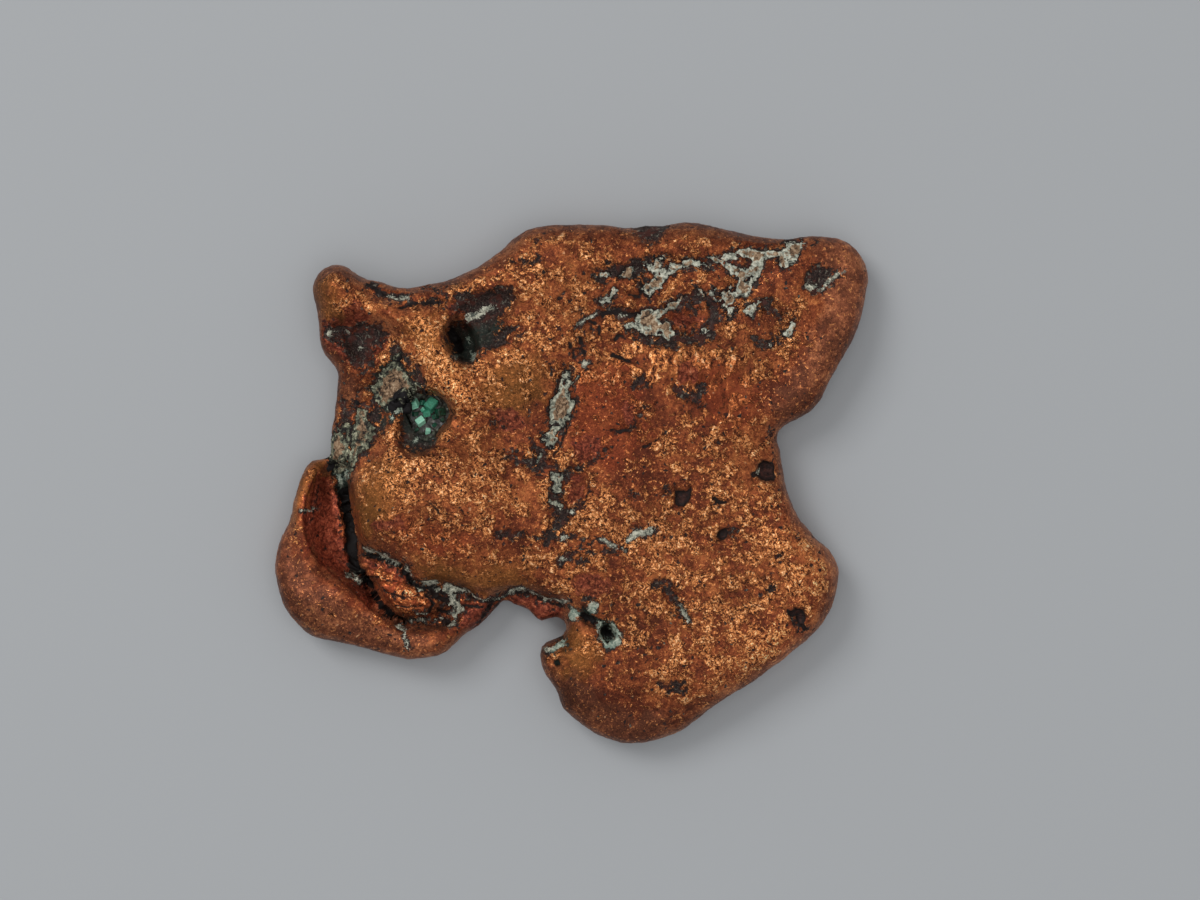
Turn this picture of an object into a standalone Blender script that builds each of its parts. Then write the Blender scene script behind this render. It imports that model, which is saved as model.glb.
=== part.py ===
"""A native copper nugget: a flattened, water-worn lump of copper with a fold curled round one end,
hollows, and a crust of green malachite crystals in one of the hollows.

Plan positions are millimetres on a plan sheet that looks straight down on the nugget: x runs to
the right and y runs down the sheet. The part's own frame has +X to the right of the sheet, +Y up
the sheet, +Z out of the sheet, and its origin on the resting plane, under the middle of the outline.
"""

import math

import bmesh
import bpy
import numpy as np
from mathutils import Matrix, Vector, noise

# ---- Driving dimensions, in millimetres ---------------------------------------------------------

MM = 0.001
PLAN_MIDDLE = (57.15, 48.33)  # middle of the whole outline on the plan sheet

BODY_TOP = 6.6  # height of the body's upper face before its swellings
BODY_RIM = 2.7  # radius of the worn, rounded rim
SUNK = 0.12  # how far the lower face reaches below the resting plane before it is worn flat

CLAY_VOXEL = 0.42  # grain of the fused form
CLAY_SMOOTHING = 5  # rounds of smoothing on the fused form
FORM_TRIANGLES = 7400  # triangles in the finished nugget
WAIST = 2.9  # height that parts the upper face from the lower one

# ---- Outlines on the plan sheet -----------------------------------------------------------------

# The body, clockwise from the mouth of the fold: left edge, knob, upper edge, right arm, right
# notch, lower lobe, lower notch, and back under the ledge and along the fold.
BODY = [
    (33.0, 45.6), (33.15, 43.1), (33.5, 40.6), (33.7, 38.2), (33.95, 37.3), (33.7, 36.6),
    (32.75, 35.75), (32.2, 34.4), (31.95, 32.4), (31.55, 30.4), (31.42, 29.0), (31.8, 27.5),
    (32.7, 26.62), (33.8, 26.35), (34.9, 26.6), (35.65, 27.2), (36.7, 27.65), (38.1, 27.95),
    (39.3, 28.5), (40.6, 28.85), (42.4, 28.6), (44.6, 28.25), (46.4, 27.45), (48.3, 26.3),
    (50.0, 25.05), (51.5, 23.8), (53.1, 23.0), (55.0, 22.7), (57.4, 22.35), (59.4, 22.3),
    (61.2, 22.45), (63.0, 22.9), (64.4, 22.55), (66.4, 22.6), (68.0, 22.3), (71.2, 22.45),
    (73.3, 22.95), (75.5, 23.4), (77.9, 24.0), (80.0, 23.85), (82.0, 23.8), (84.3, 24.15),
    (85.65, 25.0), (86.8, 26.75), (87.0, 28.2), (86.45, 30.3), (85.7, 33.0), (84.8, 35.1),
    (83.4, 37.4), (82.2, 39.6), (81.0, 41.05), (79.2, 41.95), (77.9, 42.85), (77.35, 43.6),
    (77.85, 44.7), (78.05, 46.6), (79.0, 49.8), (80.0, 51.9), (81.7, 53.8), (83.1, 55.0),
    (83.85, 56.8), (83.7, 58.5), (82.85, 61.0), (81.4, 63.15), (79.6, 64.8), (77.5, 66.65),
    (74.9, 68.35), (72.1, 70.0), (69.55, 71.95), (67.1, 73.55), (65.25, 74.3), (63.3, 74.55),
    (61.1, 74.2), (58.65, 73.0), (57.0, 71.65), (56.1, 70.8), (55.7, 69.4), (54.65, 67.65),
    (54.1, 66.0), (54.1, 64.9), (55.2, 63.95), (56.1, 63.9), (56.6, 63.3), (56.8, 61.9),
    (56.3, 60.5), (54.8, 59.8), (52.3, 58.98), (51.0, 59.15), (49.4, 59.8), (47.0, 59.25),
    (45.0, 58.3), (42.9, 58.65), (41.6, 58.4), (40.8, 57.2), (39.6, 56.35), (37.2, 55.1),
    (35.9, 54.7), (35.4, 52.6), (34.85, 50.3), (34.75, 48.6), (34.2, 47.3), (33.4, 46.6),
]

# The fold that curls round the lower left end: its outer edge from the tip round to the body, and
# back along its inner edge.
FOLD = [
    (33.0, 46.8), (32.3, 46.0), (31.6, 45.9), (30.65, 46.4), (29.9, 47.9), (29.4, 49.8),
    (29.2, 51.6), (28.3, 53.5), (27.6, 55.2), (27.4, 56.8), (28.0, 59.25), (28.5, 61.0),
    (29.75, 62.65), (31.35, 63.85), (33.2, 64.1), (35.2, 64.45), (37.2, 65.15), (39.2, 65.6),
    (42.1, 65.85), (43.9, 65.55), (45.2, 64.7), (46.2, 63.65), (48.05, 62.45), (49.3, 61.0),
    (50.1, 59.8), (48.5, 58.6), (46.6, 59.2), (45.6, 61.0), (44.2, 62.0), (41.2, 62.15),
    (39.6, 61.8), (37.8, 59.9), (36.4, 58.1), (34.9, 57.1), (34.4, 55.3), (34.2, 52.0),
    (33.7, 49.8), (33.45, 48.2),
]

# The rough wedge caught between the body and the fold.
WEDGE = [
    (35.9, 54.9), (37.4, 54.6), (39.5, 55.4), (41.5, 57.0), (43.5, 57.6), (45.6, 57.8),
    (46.8, 59.4), (45.9, 61.2), (44.2, 61.6), (42.0, 61.75), (40.3, 61.6), (39.3, 60.9),
    (38.5, 59.9), (37.8, 58.8), (36.9, 57.9), (35.9, 57.1), (35.5, 56.0),
]

# The thin ledge that sticks out under the body's lower edge.
LEDGE = [
    (50.2, 58.4), (50.6, 59.9), (51.3, 60.45), (52.3, 60.7), (53.0, 60.95), (53.35, 61.5),
    (53.7, 62.1), (54.05, 62.45), (54.4, 62.1), (55.1, 61.75), (55.9, 61.75), (56.8, 62.1),
    (57.8, 62.0), (58.6, 60.6), (57.0, 58.4), (53.5, 57.4),
]

# The web of copper under the fold's mouth, which ties the fold to the body.
WEB = [
    (32.4, 48.2), (31.6, 52.0), (31.4, 56.0), (33.0, 59.5), (37.0, 62.6), (42.0, 63.4),
    (47.0, 61.8), (49.5, 59.4), (46.0, 55.0), (39.0, 50.5), (36.6, 46.6), (34.6, 45.2),
]

# name, outline, lowest and highest level, radius of the rounded rim
SLABS = [
    ("body", BODY, -SUNK, BODY_TOP, BODY_RIM),
    ("fold", FOLD, -SUNK, 5.3, 1.9),
    ("wedge", WEDGE, -SUNK, 4.9, 0.9),
    ("ledge", LEDGE, 1.0, 3.7, 0.8),
    ("web", WEB, -SUNK, 1.5, 0.7),
]

# ---- Relief of the upper face -------------------------------------------------------------------

# Swellings and dips: name, centre, half-lengths, turn in degrees, height.
SWELLINGS = [
    ("left lobe", (44.0, 50.6), (10.0, 8.6), 8, 1.9),
    ("middle of the plate", (62.0, 46.0), (19.0, 17.0), 0, 0.45),
    ("upper shoulder", (55.5, 27.5), (9.0, 4.6), -6, 0.7),
    ("upper edge", (70.0, 25.6), (9.0, 3.4), 6, 0.55),
    ("right arm", (82.0, 31.5), (5.6, 9.0), 12, 0.55),
    ("lower lobe", (68.0, 64.0), (12.0, 8.0), -32, 0.6),
    ("right shoulder", (78.5, 58.5), (5.5, 6.5), 0, 0.5),
    ("knob", (34.0, 28.9), (3.4, 3.4), 0, 1.1),
    ("saddle behind the knob", (37.2, 33.6), (4.2, 2.6), 10, -1.5),
    ("flat by the left edge", (35.8, 39.2), (3.8, 4.6), 0, -1.3),
    ("bed of the left crust", (36.6, 43.0), (4.6, 5.6), 30, -1.5),
    ("bed of the upper crust", (39.6, 38.2), (3.2, 2.8), 0, -0.8),
    ("long dip above the lobe", (52.5, 42.5), (6.0, 3.0), -30, -0.35),
    ("dip by the right notch", (75.5, 44.5), (5.0, 4.5), 0, -0.4),
    ("trough of the veins", (69.0, 28.8), (11.0, 3.4), -14, -0.35),
    ("dip above the lower notch", (56.0, 57.0), (5.5, 3.0), 10, -0.5),
    ("spur by the lower notch", (58.4, 65.2), (2.6, 2.4), 0, 0.5),
    ("right arm thins to its tip", (88.0, 27.0), (9.0, 9.0), 0, -1.6),
    ("lower lobe thins to its end", (63.5, 75.0), (11.0, 7.5), -20, -1.5),
    ("corner of the right shoulder", (86.0, 58.0), (6.0, 8.0), 0, -0.9),
    ("left edge by the crust", (31.5, 42.5), (4.0, 5.5), 0, -1.0),
    ("fold's heel", (32.5, 60.0), (5.0, 4.2), 35, 0.7),
    ("fold's toe", (42.5, 64.0), (4.5, 2.2), 5, 0.35),
]

# Rounded ridges: name, path, half-width, height.
RIDGES = [
    (
        "brow between the hollows",
        [(39.6, 31.8), (42.2, 32.0), (43.7, 34.4), (44.6, 37.4), (46.4, 39.4)],
        2.0,
        1.15,
    ),
    ("brow's upper lip", [(41.5, 29.7), (44.5, 29.3), (47.5, 28.4)], 1.1, 0.35),
    ("rib below the crust hollow", [(39.3, 44.6), (42.0, 46.6), (45.5, 45.6)], 1.3, 0.4),
    ("rib left of the crust hollow", [(39.5, 41.4), (39.0, 43.6)], 0.8, 0.45),
    (
        "fold's crest",
        [(31.9, 46.9), (30.6, 50.0), (30.2, 53.0), (31.6, 56.2), (35.0, 59.6), (39.0, 62.8)],
        1.0,
        0.55,
    ),
    ("striae of the plate", [(66.0, 36.5), (64.0, 42.0), (63.0, 48.0)], 1.4, 0.16),
    ("edge beside the middle vein", [(58.4, 37.0), (57.0, 42.5), (56.0, 46.0)], 0.7, 0.22),
]

# Rounded troughs, cracks and veins, cut in the same way: name, path, half-width, depth.
TROUGHS = [
    ("fold's inner slope", [(33.0, 47.8), (32.8, 50.6), (33.0, 53.6), (33.4, 56.0)], 1.6, 2.3),
    ("mouth of the fold", [(34.2, 47.2), (34.1, 49.2), (34.6, 51.8), (34.9, 54.2), (35.0, 56.0)], 0.75, 2.4),
    (
        "crack under the wedge",
        [(35.8, 57.5), (37.2, 58.7), (38.6, 60.6), (40.0, 61.9), (43.0, 61.8), (45.4, 61.2)],
        0.6,
        1.6,
    ),
    (
        "step above the wedge",
        [(36.2, 55.0), (38.6, 56.2), (40.4, 56.8), (41.6, 58.6), (44.0, 58.7), (46.6, 59.6)],
        0.55,
        1.0,
    ),
    ("ledge's step", [(49.6, 59.9), (51.6, 59.1), (53.6, 59.6), (56.0, 60.4)], 0.5, 0.8),
    ("crack across the knob", [(37.2, 29.7), (39.2, 29.9), (40.8, 29.6)], 0.55, 0.6),
    ("crack over the brow", [(40.2, 31.0), (42.6, 30.4), (45.0, 30.5)], 0.5, 0.7),
    (
        "upper vein",
        [
            (59.4, 27.9), (63.0, 27.4), (66.0, 27.0), (70.4, 26.6), (74.0, 25.8), (78.0, 25.6),
            (79.6, 24.8),
        ],
        0.8,
        0.4,
    ),
    ("vein's branch", [(77.0, 26.2), (75.2, 28.6), (72.4, 30.2), (70.4, 31.6), (68.8, 33.8)], 0.8, 0.45),
    ("vein's lower pool", [(69.0, 30.0), (66.4, 31.4), (65.0, 32.6), (67.0, 33.6)], 1.0, 0.45),
    ("middle vein", [(57.0, 36.9), (56.4, 39.0), (55.9, 41.2), (55.2, 44.2)], 0.9, 0.5),
    (
        "lower vein",
        [(54.0, 45.8), (55.8, 47.8), (55.6, 50.0), (56.0, 53.2), (60.6, 54.0), (62.4, 54.7)],
        0.7,
        0.45,
    ),
    ("arm's pocket", [(80.8, 28.4), (82.2, 28.2), (83.6, 27.2)], 0.9, 0.45),
    ("pocket under the branch", [(76.4, 31.0), (77.6, 32.4), (78.8, 33.2)], 1.1, 0.35),
    ("hooked pit", [(67.6, 38.2), (69.0, 39.0), (70.1, 38.2)], 0.7, 0.45),
    ("small lower vein", [(66.0, 58.2), (67.2, 59.8), (68.0, 61.4)], 0.6, 0.4),
    ("slot by the eye", [(57.9, 61.0), (59.4, 62.2)], 0.6, 0.8),
]

# Hollows with steep walls: name, centre, half-lengths, turn, depth.
HOLLOWS = [
    ("deep hollow", (46.2, 34.3), (1.45, 2.45), -24, 3.6),
    ("deep hollow's shelf", (48.6, 31.4), (4.0, 1.9), -24, 0.9),
    ("deep hollow's lower shelf", (49.6, 34.2), (2.9, 1.1), -32, 0.5),
    ("crust hollow", (43.0, 41.2), (2.7, 2.2), 24, 2.3),
    ("crust hollow's tail", (41.9, 43.6), (2.3, 2.1), 0, 1.3),
    ("knob's pocket", (34.6, 33.4), (1.9, 1.2), 20, 0.8),
    ("saddle's pocket", (36.3, 35.2), (1.3, 1.2), 0, 0.8),
    ("eye by the lower notch", (60.8, 63.1), (0.9, 1.0), -30, 2.0),
    ("right pit", (76.4, 46.9), (1.0, 0.95), 0, 0.7),
    ("middle pit", (68.0, 49.4), (0.8, 0.9), 0, 0.5),
    ("small pit", (72.1, 53.4), (0.65, 0.65), 0, 0.5),
    ("lower right pit", (79.7, 61.4), (1.1, 0.7), -50, 0.7),
    ("spur's pit", (55.7, 66.0), (0.55, 0.55), 0, 0.6),
    ("upper edge pit", (65.0, 23.7), (1.3, 0.9), 5, 0.5),
    ("wedge pit", (44.8, 60.2), (1.4, 1.0), 20, 0.9),
    ("pit in the veins", (68.6, 31.4), (1.9, 1.2), 14, 0.35),
]

# Dips in the lower face: centre, half-lengths, turn, depth.
UNDER_DIPS = [
    ((36.0, 31.5), (6.0, 6.5), 0, 1.7),
    ((47.0, 30.5), (9.0, 6.0), -20, 0.9),
    ((84.0, 29.0), (8.0, 10.0), 15, 1.5),
    ((82.0, 58.0), (5.5, 9.0), 0, 1.1),
    ((64.0, 72.5), (11.0, 5.5), -14, 1.3),
    ((29.5, 56.0), (4.5, 10.0), -8, 0.9),
    ((66.5, 42.0), (5.5, 4.0), 25, 0.9),
    ((52.5, 61.0), (6.5, 4.0), 0, 0.8),
]

# ---- Minerals grown in the hollows ----------------------------------------------------------------

GAP = 0.3  # clearance between a mineral and the copper round it
POCKET_ROOF = 14.0  # a level above all of the nugget

# Pale mineral that fills shallow pockets flush with the copper: name, outline on the sheet, level of
# the pocket's floor at the outline's middle, and how much the floor rises per millimetre along x and y.
INFILLS = [
    (
        "mineral_left_crust",
        [
            (39.9, 35.6), (40.8, 37.3), (41.9, 38.7), (41.1, 40.0), (39.3, 40.6), (38.4, 41.5),
            (37.9, 43.0), (37.3, 44.4), (36.2, 45.5), (35.3, 46.6), (34.2, 46.3), (32.4, 46.0),
            (32.2, 44.2), (32.8, 42.4), (34.3, 42.0), (35.6, 41.1), (37.0, 40.6), (37.5, 39.7),
            (37.2, 38.5), (38.2, 37.1),
        ],
        3.75,
        (0.22, -0.05),
    ),
    (
        "mineral_upper_vein",
        [
            (70.9, 25.8), (72.6, 25.4), (74.0, 24.8), (75.8, 24.8), (77.2, 25.0), (78.6, 24.5),
            (80.0, 24.6), (79.9, 25.7), (78.7, 26.8), (77.1, 27.2), (76.0, 28.5), (74.9, 29.8),
            (73.2, 30.6), (72.0, 30.7), (71.9, 29.6), (73.1, 28.5), (72.9, 27.5), (71.5, 27.1),
        ],
        4.9,
        (0.0, 0.03),
    ),
    (
        "mineral_pool",
        [
            (63.6, 31.5), (65.8, 31.3), (66.6, 32.1), (67.5, 33.2), (67.0, 34.2), (65.6, 33.9),
            (64.4, 33.8), (63.7, 32.8),
        ],
        5.2,
        (0.0, 0.0),
    ),
    (
        "mineral_middle_vein",
        [
            (56.2, 36.8), (57.2, 36.8), (57.4, 38.4), (57.2, 39.6), (57.9, 40.5), (57.5, 41.6),
            (57.1, 42.7), (56.2, 43.6), (55.4, 44.8), (54.5, 44.5), (54.1, 43.3), (54.8, 42.1),
            (54.9, 40.4), (55.6, 39.2), (55.7, 38.0),
        ],
        5.3,
        (0.0, 0.0),
    ),
]

# The crust of malachite crystals in the crust hollow.
CRUST = [
    (40.7, 40.4), (41.4, 39.7), (42.7, 39.9), (43.9, 40.1), (44.7, 41.0), (44.4, 41.9),
    (43.7, 42.6), (43.3, 43.6), (42.4, 43.6), (41.6, 42.7), (41.1, 41.6),
]
CRUST_FLOOR = 3.2  # level of the pocket under the crust
CRUST_TOP = 4.3  # level that the crystals grow from

# Its crystals: place, height above the crust, radius, and the tip's lean to the right and up the sheet.
CRYSTALS = [
    ((41.5, 40.5), 1.0, 0.68, (-0.25, 0.2)),
    ((43.1, 40.8), 1.05, 0.82, (0.15, 0.25)),
    ((42.3, 41.6), 0.85, 0.55, (-0.1, -0.2)),
    ((43.9, 41.5), 0.6, 0.55, (0.35, 0.0)),
    ((42.9, 42.9), 0.75, 0.5, (0.1, -0.3)),
    ((41.9, 42.5), 0.5, 0.42, (-0.3, -0.1)),
]
CRYSTAL_SIDES = 6
CRYSTAL_TAPER = 0.72  # radius at the tip over the radius at the foot

COPPER = (0.47, 0.20, 0.10, 1.0)
MALACHITE = (0.10, 0.42, 0.27, 1.0)
PALE_MINERAL = (0.42, 0.40, 0.33, 1.0)


def place(x, y, z=0.0):
    """A point of the plan sheet, at a level z, in the part's frame."""
    return Vector(((x - PLAN_MIDDLE[0]) * MM, (PLAN_MIDDLE[1] - y) * MM, z * MM))


def on_sheet(points):
    """Points of the part's frame, as plan x, plan y and level in millimetres."""
    return np.column_stack(
        [points[:, 0] / MM + PLAN_MIDDLE[0], PLAN_MIDDLE[1] - points[:, 1] / MM, points[:, 2] / MM]
    )


def off_sheet(points):
    """The reverse of on_sheet."""
    return np.column_stack(
        [(points[:, 0] - PLAN_MIDDLE[0]) * MM, (PLAN_MIDDLE[1] - points[:, 1]) * MM, points[:, 2] * MM]
    )


def clear_scene():
    for thing in list(bpy.data.objects):
        bpy.data.objects.remove(thing, do_unlink=True)


def collection(name):
    made = bpy.data.collections.new(name)
    bpy.context.scene.collection.children.link(made)
    return made


def material(name, colour, roughness, metallic):
    made = bpy.data.materials.new(name)
    made.use_nodes = True
    shader = made.node_tree.nodes["Principled BSDF"]
    shader.inputs["Base Color"].default_value = colour
    shader.inputs["Roughness"].default_value = roughness
    shader.inputs["Metallic"].default_value = metallic
    return made


def evaluated_mesh(thing):
    """The object's mesh with its modifiers applied, in the part's frame; the object is removed."""
    bpy.context.view_layer.update()
    graph = bpy.context.evaluated_depsgraph_get()
    mesh = bpy.data.meshes.new_from_object(thing.evaluated_get(graph))
    mesh.transform(thing.matrix_world)
    bpy.data.objects.remove(thing, do_unlink=True)
    return mesh


def new_object(name, mesh, where):
    made = bpy.data.objects.new(name, mesh)
    where.objects.link(made)
    return made


def slab_mesh(name, outline, low, high, rim, where):
    """A slab with that outline, whose rim is rounded by a bevel that ends at the outline."""
    curve = bpy.data.curves.new(name, "CURVE")
    curve.dimensions = "2D"
    curve.fill_mode = "BOTH"
    curve.resolution_u = 3
    curve.extrude = ((high - low) / 2 - rim) * MM
    curve.bevel_depth = rim * MM
    curve.bevel_resolution = 4
    curve.offset = -rim * MM
    spline = curve.splines.new("BEZIER")
    spline.bezier_points.add(len(outline) - 1)
    spline.use_cyclic_u = True
    for knot, (x, y) in zip(spline.bezier_points, outline):
        knot.co = place(x, y)
        knot.handle_left_type = knot.handle_right_type = "AUTO"
    made = new_object(name, curve, where)
    made.location.z = (high + low) / 2 * MM
    return evaluated_mesh(made)


def fused(meshes, voxel, smoothing, where):
    """One closed mesh round all the given ones, with the seams between them smoothed."""
    joined = bmesh.new()
    for mesh in meshes:
        joined.from_mesh(mesh)
        bpy.data.meshes.remove(mesh)
    mesh = bpy.data.meshes.new("clay")
    joined.to_mesh(mesh)
    joined.free()
    clay = new_object("clay", mesh, where)
    remesh = clay.modifiers.new("fuse", "REMESH")
    remesh.mode = "VOXEL"
    remesh.voxel_size = voxel * MM
    if smoothing:
        smooth = clay.modifiers.new("smooth", "SMOOTH")
        smooth.factor = 0.5
        smooth.iterations = smoothing
    return evaluated_mesh(clay)


def coordinates(mesh):
    flat = np.empty(len(mesh.vertices) * 3, np.float32)
    mesh.vertices.foreach_get("co", flat)
    return on_sheet(flat.reshape(-1, 3).astype(np.float64))


def set_coordinates(mesh, points):
    mesh.vertices.foreach_set("co", off_sheet(points).astype(np.float32).ravel())
    mesh.update()


def dome(points, centre, half, turn):
    """1 at the centre of an ellipse on the sheet, falling smoothly to 0 at its edge."""
    angle = math.radians(turn)
    dx = points[:, 0] - centre[0]
    dy = points[:, 1] - centre[1]
    along = (dx * math.cos(angle) + dy * math.sin(angle)) / half[0]
    across = (dy * math.cos(angle) - dx * math.sin(angle)) / half[1]
    return np.clip(1 - along**2 - across**2, 0, None)


def from_path(points, path):
    """Distance on the sheet from each point to a path of straight steps."""
    nearest = np.full(len(points), np.inf)
    for (ax, ay), (bx, by) in zip(path, path[1:]):
        dx, dy = bx - ax, by - ay
        along = ((points[:, 0] - ax) * dx + (points[:, 1] - ay) * dy) / (dx * dx + dy * dy)
        along = np.clip(along, 0, 1)
        gap = np.hypot(points[:, 0] - ax - along * dx, points[:, 1] - ay - along * dy)
        nearest = np.minimum(nearest, gap)
    return nearest


def step(values, low, high):
    """0 below low, 1 above high, and smooth between."""
    share = np.clip((values - low) / (high - low), 0, 1)
    return share * share * (3 - 2 * share)


def lumps(points, length, seed):
    """Smooth natural unevenness between about -1 and 1, with lumps of that length."""
    shift = Vector((seed * 7.3, seed * 3.1, seed * 5.7))
    return np.array([noise.noise(Vector(p) / length + shift) for p in points])


def shape_upper_face(points):
    """Moves the upper face up and down, and leaves the outline as it is."""
    upper = step(points[:, 2], WAIST - 0.6, WAIST + 1.4)
    rise = np.zeros(len(points))
    for _, centre, half, turn, height in SWELLINGS:
        rise += height * dome(points, centre, half, turn) ** 1.5
    for _, path, width, height in RIDGES:
        rise += height * np.exp(-((from_path(points, path) / width) ** 2))
    for _, path, width, depth in TROUGHS:
        rise -= depth * np.exp(-((from_path(points, path) / width) ** 2))
    for _, centre, half, turn, depth in HOLLOWS:
        rise -= depth * step(dome(points, centre, half, turn), 0.0, 0.55)
    points[:, 2] += upper * rise


def shape_lower_face(points):
    """Gives the lower face broad dips, so that it rests on the worn flats between them."""
    lower = 1 - step(points[:, 2], 0.4, WAIST)
    for centre, half, turn, depth in UNDER_DIPS:
        points[:, 2] += lower * depth * dome(points, centre, half, turn)
    points[:, 2] += lower * 1.3 * lumps(points, 9.0, 4)


def make_uneven(points, normals):
    """Small lumps all over, along the surface's own normals."""
    swell = 0.32 * lumps(points, 5.5, 1) + 0.14 * lumps(points, 2.3, 2)
    points += normals * swell[:, None]


def vertex_normals(mesh):
    flat = np.empty(len(mesh.vertices) * 3, np.float32)
    mesh.vertices.foreach_get("normal", flat)
    return flat.reshape(-1, 3).astype(np.float64) * (1, -1, 1)


def wear_flat(mesh):
    """Cuts the lower face off at the resting plane, as wear does, and closes the cut."""
    form = bmesh.new()
    form.from_mesh(mesh)
    geometry = form.verts[:] + form.edges[:] + form.faces[:]
    bmesh.ops.bisect_plane(
        form, geom=geometry, dist=1e-6, plane_co=(0, 0, 0), plane_no=(0, 0, 1), clear_inner=True
    )
    rims = [edge for edge in form.edges if edge.is_boundary]
    bmesh.ops.holes_fill(form, edges=rims, sides=0)
    bmesh.ops.triangulate(form, faces=form.faces[:])
    bmesh.ops.recalc_face_normals(form, faces=form.faces[:])
    form.to_mesh(mesh)
    form.free()


def thinned(mesh, triangles, where):
    """The mesh with about that many triangles, most of them where the form bends most."""
    thing = new_object("thinned", mesh, where)
    mesh.calc_loop_triangles()
    decimate = thing.modifiers.new("thin", "DECIMATE")
    decimate.ratio = triangles / len(mesh.loop_triangles)
    decimate.use_collapse_triangulate = True
    return evaluated_mesh(thing)


def build_form(where):
    """The copper's whole form, before the pockets that the minerals sit in are cut."""
    slabs = [slab_mesh(*slab, where) for slab in SLABS]
    clay = fused(slabs, CLAY_VOXEL, CLAY_SMOOTHING, where)
    points = coordinates(clay)
    shape_upper_face(points)
    shape_lower_face(points)
    set_coordinates(clay, points)
    points = coordinates(clay)
    make_uneven(points, vertex_normals(clay))
    set_coordinates(clay, points)
    form = fused([clay], CLAY_VOXEL, 1, where)
    form = thinned(form, FORM_TRIANGLES, where)
    wear_flat(form)
    return form


def prism_mesh(name, outline, growth, floor, roof, slope, where):
    """A straight-walled prism on that outline, grown or shrunk sideways, with a sloping floor."""
    curve = bpy.data.curves.new(name, "CURVE")
    curve.dimensions = "2D"
    curve.fill_mode = "BOTH"
    curve.resolution_u = 2
    curve.extrude = (roof - floor) / 2 * MM
    curve.offset = growth * MM
    spline = curve.splines.new("BEZIER")
    spline.bezier_points.add(len(outline) - 1)
    spline.use_cyclic_u = True
    for knot, (x, y) in zip(spline.bezier_points, outline):
        knot.co = place(x, y)
        knot.handle_left_type = knot.handle_right_type = "AUTO"
    made = new_object(name, curve, where)
    made.location.z = (roof + floor) / 2 * MM
    mesh = evaluated_mesh(made)
    weld(mesh)
    points = coordinates(mesh)
    middle = np.mean(outline, axis=0)
    rise = (points[:, 0] - middle[0]) * slope[0] + (points[:, 1] - middle[1]) * slope[1]
    points[:, 2] += np.where(points[:, 2] < (roof + floor) / 2, rise, 0)
    set_coordinates(mesh, points)
    return mesh


def weld(mesh):
    form = bmesh.new()
    form.from_mesh(mesh)
    bmesh.ops.remove_doubles(form, verts=form.verts[:], dist=1e-6)
    bmesh.ops.recalc_face_normals(form, faces=form.faces[:])
    form.to_mesh(mesh)
    form.free()


def combined(mesh, tool_mesh, operation, where, cutters):
    """The mesh cut by, limited to or joined with the tool's mesh; both are used up."""
    thing = new_object("worked", mesh, where)
    tool = new_object("tool", tool_mesh, cutters)
    boolean = thing.modifiers.new("combine", "BOOLEAN")
    boolean.operation = operation
    boolean.solver = "EXACT"
    boolean.object = tool
    result = evaluated_mesh(thing)
    bpy.data.objects.remove(tool, do_unlink=True)
    return result


def infill_mesh(form, outline, floor, slope, where, cutters):
    """The pale mineral in one pocket, flush with the copper's own surface."""
    prism = prism_mesh("infill", outline, -GAP, floor + GAP, POCKET_ROOF, slope, cutters)
    return combined(form.copy(), prism, "INTERSECT", where, cutters)


def crystal_mesh(spot, height, radius, lean):
    """One blocky crystal with flat faces, leaning a little, its foot sunk in the crust."""
    form = bmesh.new()
    foot = CRUST_TOP - 0.25
    turn = Matrix.Rotation(spot[0] * 3.0, 3, "Z")
    bmesh.ops.create_cone(
        form,
        cap_ends=True,
        segments=CRYSTAL_SIDES,
        radius1=radius * MM,
        radius2=radius * CRYSTAL_TAPER * MM,
        depth=(height + 0.25) * MM,
    )
    for vertex in form.verts:
        vertex.co = turn @ vertex.co
        above = vertex.co.z > 0
        vertex.co += place(*spot, foot + (height + 0.25) / 2)
        if above:
            vertex.co += Vector((lean[0], lean[1], 0.35 * lean[0])) * MM
    mesh = bpy.data.meshes.new("crystal")
    form.to_mesh(mesh)
    form.free()
    return mesh


def crust_mesh(where, cutters):
    """The base of the crust with its crystals, as one solid."""
    crust = prism_mesh("crust", CRUST, 0.0, CRUST_FLOOR + GAP, CRUST_TOP, (0, 0), where)
    for crystal in CRYSTALS:
        crust = combined(crust, crystal_mesh(*crystal), "UNION", where, cutters)
    return crust


def finished(name, mesh, finish, where, smooth):
    """The node itself, with its own name and material."""
    mesh.materials.clear()
    mesh.materials.append(finish)
    mesh.name = name
    if smooth:
        mesh.shade_smooth()
    else:
        mesh.shade_flat()
    return new_object(name, mesh, where)


def main():
    clear_scene()
    parts = collection("native_copper_nugget")
    cutters = collection("cutters")
    copper = material("native copper", COPPER, 0.45, 0.9)
    malachite = material("malachite", MALACHITE, 0.4, 0.0)
    pale = material("pale mineral", PALE_MINERAL, 0.8, 0.0)

    form = build_form(parts)
    nugget = form.copy()
    for name, outline, floor, slope in INFILLS:
        infill = infill_mesh(form, outline, floor, slope, parts, cutters)
        finished(name, infill, pale, parts, smooth=True)
        pocket = prism_mesh("pocket", outline, 0.0, floor, POCKET_ROOF, slope, cutters)
        nugget = combined(nugget, pocket, "DIFFERENCE", parts, cutters)
    well = prism_mesh("well", CRUST, GAP, CRUST_FLOOR, POCKET_ROOF, (0, 0), cutters)
    nugget = combined(nugget, well, "DIFFERENCE", parts, cutters)
    finished("copper_nugget", nugget, copper, parts, smooth=True)
    finished("malachite_crust", crust_mesh(parts, cutters), malachite, parts, smooth=False)
    bpy.data.meshes.remove(form)


main()
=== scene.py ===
# %% [markdown]
# # A native copper nugget
#
# This lesson dresses a small natural object: a flattened lump of native copper, 59 mm long, that
# water has worn smooth. Its look comes from four things: the rounded form, the rough grain of the
# metal, the dark tarnish in every hollow, and the other minerals that grew in it. The form comes
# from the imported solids, and this script adds the rest.

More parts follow.
